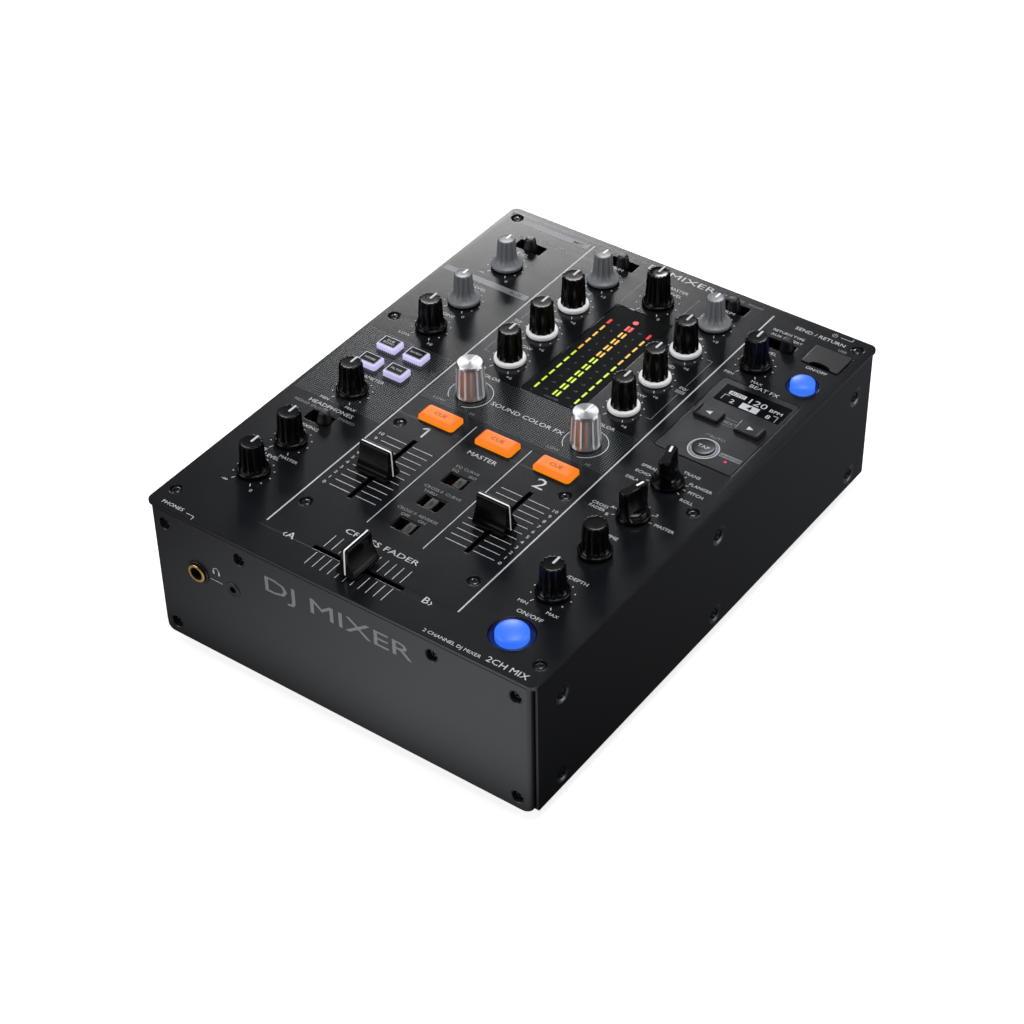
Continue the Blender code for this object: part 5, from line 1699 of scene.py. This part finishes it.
def three_round(x, y, r, first):
    """Three centres evenly round a middle, the first at a bearing in degrees."""
    bearings = [math.radians(first + 120.0 * i) for i in range(3)]
    return [(x + r * math.cos(a), y + r * math.sin(a)) for a in bearings]


def xlr_output(bm, x, y):
    flange = [(0.02, 10.0), (0.02, 11.6), (0.9, 11.6), (1.15, 11.3), (1.15, 9.6), (0.3, 9.3)]
    turned(bm, [(-12.0, 11.0), *flange, (-10.5, 9.2), (-10.5, 0.02)], 0, 56, x, y)
    for px, py in three_round(x, y, 4.2, 150.0):
        turned(bm, [(-10.6, 1.1), (-2.0, 1.1), (-1.4, 0.7), (-1.3, 0.02)], 1, 16, px, py)
    block(bm, 1.4, 0.9, 0.3, [(-9.0, 0.0), (-0.6, 0.0)], 0, x, y + 8.6, 2)


def large_jack(bm, x, y):
    turned(bm, [(-8.0, 6.6), (-1.9, 6.6), (-1.9, 5.4), (0.05, 5.4)], 0, 6, x, y)
    bored(bm, [(-1.0, 5.35), (2.5, 5.35), (2.95, 5.1), (3.15, 4.7)], 3.25, -12.0, 0, 2, 40, x, y)
    loft(bm, [circle(7.3, z, 6, x, y) for z in (0.1, 1.7)], 1)


bm = bmesh.new()
for place in XLRS:
    xlr_output(bm, *seen(*place))
mic_x, mic_y = seen(*MIC_SOCKET)
turned(bm, [(-12.0, 11.0), (0.02, 11.0), (0.02, 11.6), (0.9, 11.6), (1.15, 11.2), (0.4, 9.3),
            (-9.5, 9.2), (-9.5, 0.02)], 0, 56, mic_x, mic_y)
turned(bm, [(-9.6, 7.9), (-0.6, 7.9), (-0.2, 7.5), (-0.2, 3.5), (-9.0, 3.3), (-9.0, 0.02)], 0, 48,
       mic_x, mic_y)
for px, py in three_round(mic_x, mic_y, 5.6, 90.0):
    turned(bm, [(-0.25, 0.95), (-0.12, 0.95), (-0.12, 0.02)], 2, 16, px, py)
for place in JACKS:
    large_jack(bm, *seen(*place))
ex, ey = seen(*EARTH)
turned(bm, [(-2.0, 3.2), (1.2, 3.2), (1.2, 2.1), (8.9, 2.1), (8.9, 4.3), (9.3, 4.6), (15.1, 4.6),
            (15.6, 4.3), (15.7, 2.4), (15.3, 2.2), (15.3, 0.02)], 1, 40, ex, ey)
make_piece(bm, "balanced_and_jack_sockets", [SATIN_BLACK, BRIGHT_STEEL, HOLE_BLACK], BACK)

# %% Phono sockets
sleeve = bmesh.new()
turned(sleeve, [(-3.0, 0.02), (-3.0, 5.3), (0.2, 5.3), (1.5, 5.3), (1.75, 5.1), (1.75, 4.3), (8.7, 4.3),
                (9.15, 4.0), (9.15, 3.5), (1.0, 3.4), (1.0, 2.9), (8.4, 2.9), (8.6, 2.7), (8.6, 1.75),
                (0.5, 1.7), (0.5, 0.02)], sides=28)
bmesh.ops.recalc_face_normals(sleeve, faces=sleeve.faces)
mesh = bpy.data.meshes.new("sleeve")
sleeve.to_mesh(mesh)
sleeve.free()
template = bpy.data.objects.new("sleeve", mesh)
drawing = bmesh.new()
add_mesh(drawing, grow(points_mesh([seen(*p) for p in PHONOS]), SCREWS, Head=template, Seed=2))
bpy.data.objects.remove(template)
for face_made in drawing.faces:
    middle = face_made.calc_center_median()
    near = min(math.dist((middle.x, middle.y), seen(*p)) for p in PHONOS)
    face_made.material_index = 1 if 1.2 < near < 3.2 else 0
make_piece(drawing, "phono_sockets", [BRIGHT_STEEL, WHITE_PLASTIC_PAINTED_GLOW], BACK)
print("phono sockets:", len(PHONOS))

# %% [markdown]
# ## Mains inlet and power button
#
# The inlet is a deep six-sided well with three flat pins; the power button is a round
# cap that is pushed in to switch on.

# %% Make the inlet and the power button
bm = bmesh.new()
ix, iy = seen(*INLET)
block(bm, 14.0, 10.4, 1.4, [(-20.0, 0.0), (0.1, 0.0), (1.05, 0.05), (1.35, 0.5), (1.35, 2.2), (-13.6, 2.4)],
      0, ix, iy, 4)
for dx, dy in ((0.0, 4.0), (-7.0, -1.0), (7.0, -1.0)):
    block(bm, 1.0, 2.0, 0.4, [(-14.0, 0.0), (-5.2, 0.0), (-5.0, 0.3)], 1, ix + dx, iy + dy, 2)
make_piece(bm, "mains_socket", [SATIN_BLACK, BRIGHT_STEEL], BACK)

px, py = seen(*POWER)
bm = bmesh.new()
turned(bm, [(-9.6, 3.0), (-3.0, 3.0), (-3.0, 6.8), (-2.0, 6.8), (-2.0, 5.9), (2.0, 5.9), (2.4, 5.7),
            (2.6, 5.2), (2.45, 3.0), (2.4, 0.02)], 0, 48)
bar(bm, 0.0, 0.0, 0.35, 2.2, 1, z=2.42)
make_piece(bm, "power_key", [GLOSS_BLACK, WHITE_INK], at(px, py, place=BACK), "power_button",
           ["power_button"])

# %% Lettering on the back wall
bm = bmesh.new()
BACK_LABELS = [("MASTER 1", 48.5, 42.6, 2.2), ("R", 62.0, 13.0, 2.0), ("L", 35.0, 13.0, 2.0),
               ("SEND", 61.0, 68.6, 2.0), ("RETURN", 25.0, 68.6, 2.0), ("R", 70.0, 49.0, 1.8),
               ("L", 52.0, 49.0, 1.8), ("R", 34.0, 49.0, 1.8), ("L", 16.0, 49.0, 1.8),
               ("MASTER 2", 11.0, 41.6, 2.0), ("PHONO", -9.0, 41.6, 2.0), ("LINE", -25.0, 41.6, 2.0),
               ("PHONO", -49.0, 41.6, 2.0), ("LINE", -65.0, 41.6, 2.0), ("CH 2", -17.0, 6.4, 2.2),
               ("CH 1", -57.0, 6.4, 2.2), ("GND", -37.0, 67.0, 1.8), ("MIC", -94.0, 42.6, 2.4),
               ("AC IN", 91.0, 40.6, 2.2), ("POWER", 98.0, 72.6, 2.0)]
for text, x, y, cap in BACK_LABELS:
    letters(bm, text, *seen(x, y), cap)
make_piece(bm, "back_printing", [WHITE_INK], BACK)
screws("back_screws", [(x, z) for x in (-106.0, 0.0, 106.0) for z in (7.0, 74.5)], BACK,
       head_r=2.5, depth=-0.3, seat_r=2.7, seed=9)
print("labels at the back:", len(BACK_LABELS))

# %% [markdown]
# ## Feet
#
# Four soft rubber feet with a recess for their screw keep the case off the table.

# %% Make the feet
for number in (1, 2, 3, 4):
    low, high = (Vector(c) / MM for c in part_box(f"foot_{number}"))
    bm = bmesh.new()
    tall = high.z - low.z
    turned(bm, [(0.0, 9.9), (tall - 1.6, 9.6), (tall - 0.5, 9.0), (tall, 8.0), (tall, 4.2), (tall - 3.0, 4.0),
                (tall - 3.0, 0.02)], 0, 48)
    turned(bm, [(tall - 3.1, 3.2), (tall - 1.6, 3.0), (tall - 1.3, 2.2), (tall - 1.3, 0.02)], 1, 24)
    middle = (low + high) / 2
    under = face((-1, 0, 0), (0, 1, 0), (0, 0, -1), middle.x, middle.y, high.z)
    make_piece(bm, f"rubber_foot_{number}", [RUBBER, SCREW_BLACK], under,
               stands_for=[f"foot_{number}"])
print("feet made")

# %% [markdown]
# ## Boards inside
#
# The boards show only as dark depths through slots and sockets. Their plain shapes are
# right already, so they only get a finish: black solder resist with a slight shine.

# %% Finish the boards
for name in ("control_board", "power_board", "jack_board", "headphone_jacks"):
    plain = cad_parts[name]
    for place in plain.material_slots:
        place.material = BOARD
print("boards finished")

# %% [markdown]
# # Stage, light and camera
#
# The mixer stands on a floor that looks plain and pale to the camera. Reflections and
# bounced light see painted light and shade on it instead: a bright band just in front of
# the mixer, near-black beside it, a little brighter towards the back and dimmer towards
# the left, which paints the reflections in the front panel and the side walls. A large
# soft light stands behind it on the left: its reflection gives the plate its sheen at
# the far corner. A second soft light in front fills the front panel, one from above
# lights the printing, and a low one behind on the right draws the knobs' edges.

# %% Floor and light


def floor():
    mesh = bpy.data.meshes.new("floor")
    reach = 14.0
    mesh.from_pydata([(-reach, -reach, 0), (reach, -reach, 0), (reach, reach, 0), (-reach, reach, 0)], [],
                     [(0, 1, 2, 3)])
    ground = bpy.data.objects.new("floor", mesh)
    bpy.context.scene.collection.objects.link(ground)
    material = bpy.data.materials.new("pale_floor_with_painted_reflections")
    material.use_nodes = True
    tree = material.node_tree
    tree.nodes.clear()
    # The camera sees an evenly pale floor. Every other ray sees a painted floor: a bright band in front of
    # the mixer, near-black beside it, brighter towards the back and dimmer towards the left. This is painted
    # light and shade that the front panel and the sides reflect.
    looked_at = add(tree, "ShaderNodeLightPath").outputs["Is Camera Ray"]
    place = add(tree, "ShaderNodeTexCoord").outputs["Object"]
    axes = add(tree, "ShaderNodeSeparateXYZ", {"Vector": place})
    depth = add(tree, "ShaderNodeMapRange", {"Value": axes.outputs["Y"], "From Min": -0.30,
                                             "From Max": 0.30})
    ramp = add(tree, "ShaderNodeValToRGB", {"Fac": depth.outputs[0]})
    stops = ramp.color_ramp.elements
    stops[0].position, stops[0].color = 0.0, (1.0, 1.0, 1.0, 1.0)
    stops[1].position, stops[1].color = 1.0, (0.26, 0.275, 0.30, 1.0)
    for position, shade in ((0.19, 1.0), (0.24, 0.014), (0.5, 0.095)):
        stops.new(position).color = (shade, shade * 1.02, shade * 1.06, 1.0)
    painted_leftward_shade = add(tree, "ShaderNodeMapRange", {"Value": axes.outputs["X"], "From Min": -0.18,
                                                "From Max": 0.02, "To Min": 0.15, "To Max": 0.98})
    # painted reflection: the floor's glow as only reflections and bounced light see it
    painted_reflection_floor = add(tree, "ShaderNodeEmission", {"Color": ramp.outputs[0], "Strength": painted_leftward_shade.outputs[0]})
    pale = add(tree, "ShaderNodeBsdfDiffuse", {"Color": (0.6, 0.6, 0.6, 1.0)})
    bright = add(tree, "ShaderNodeEmission", {"Color": (1.0, 1.0, 1.0, 1.0), "Strength": 0.8})
    seen_floor = add(tree, "ShaderNodeAddShader", {0: pale.outputs[0], 1: bright.outputs[0]})
    either = add(tree, "ShaderNodeMixShader", {0: looked_at, 1: painted_reflection_floor.outputs[0], 2: seen_floor.outputs[0]})
    add(tree, "ShaderNodeOutputMaterial", {"Surface": either.outputs[0]})
    mesh.materials.append(material)


def soft_light(name, place, aim, width, height, power):
    light = bpy.data.lights.new(name, "AREA")
    light.shape, light.size, light.size_y, light.energy = "RECTANGLE", width, height, power
    lamp = bpy.data.objects.new(name, light)
    lamp.location = place
    lamp.rotation_euler = (Vector(aim) - Vector(place)).to_track_quat("-Z", "Y").to_euler()
    bpy.context.scene.collection.objects.link(lamp)


floor()
soft_light("back_left_softbox", (-0.95, 1.285, 0.66), (0.0, 0.0, 0.09), 0.48, 0.55, 12.0)
soft_light("front_softbox", (-1.2, -1.6, 0.9), (0.0, 0.0, 0.05), 1.2, 1.2, 16.0)
soft_light("top_softbox", (0.2, 0.1, 1.9), (0.0, 0.0, 0.0), 1.0, 1.0, 20.0)
soft_light("right_back_card", (1.42, 0.75, 0.45), (0.1, 0.0, 0.05), 1.2, 0.8, 7.0)

world = bpy.data.worlds.new("studio")
world.use_nodes = True
bpy.context.scene.world = world
sky = world.node_tree
sky.nodes.clear()
camera_ray = add(sky, "ShaderNodeLightPath").outputs["Is Camera Ray"]
dim_room = add(sky, "ShaderNodeBackground", {"Color": (0.78, 0.87, 1.0, 1.0), "Strength": 0.08})
white_room = add(sky, "ShaderNodeBackground", {"Color": (1.0, 1.0, 1.0, 1.0), "Strength": 1.0})
room = add(sky, "ShaderNodeMixShader", {0: camera_ray, 1: dim_room.outputs[0], 2: white_room.outputs[0]})
add(sky, "ShaderNodeOutputWorld", {"Surface": room.outputs[0]})
bpy.context.scene.view_settings.view_transform = "Standard"
print("lights:", len(bpy.data.lights))

# %% [markdown]
# The camera stands in front of the mixer to its right, at about forty degrees above it.

# %% Camera
CAMERA_PLACE = Vector((0.5774, -0.8014, 0.8664))
LOOKS_ALONG = Vector((-0.45122, 0.61280, -0.64874))
HEAD_UP = Vector((-0.36914, 0.53369, 0.76087))
lens = bpy.data.cameras.new("camera")
lens.lens, lens.sensor_width = 88.58, 36.0
camera = bpy.data.objects.new("camera", lens)
across = LOOKS_ALONG.cross(HEAD_UP).normalized()
upright = across.cross(LOOKS_ALONG).normalized()
turn = Matrix((across, upright, -LOOKS_ALONG.normalized())).transposed().to_4x4()
camera.matrix_world = Matrix.Translation(CAMERA_PLACE) @ turn
bpy.context.scene.collection.objects.link(camera)
bpy.context.scene.camera = camera

# %% [markdown]
# Last, the scene is brought up to date.

# %% Update the scene
bpy.context.view_layer.update()
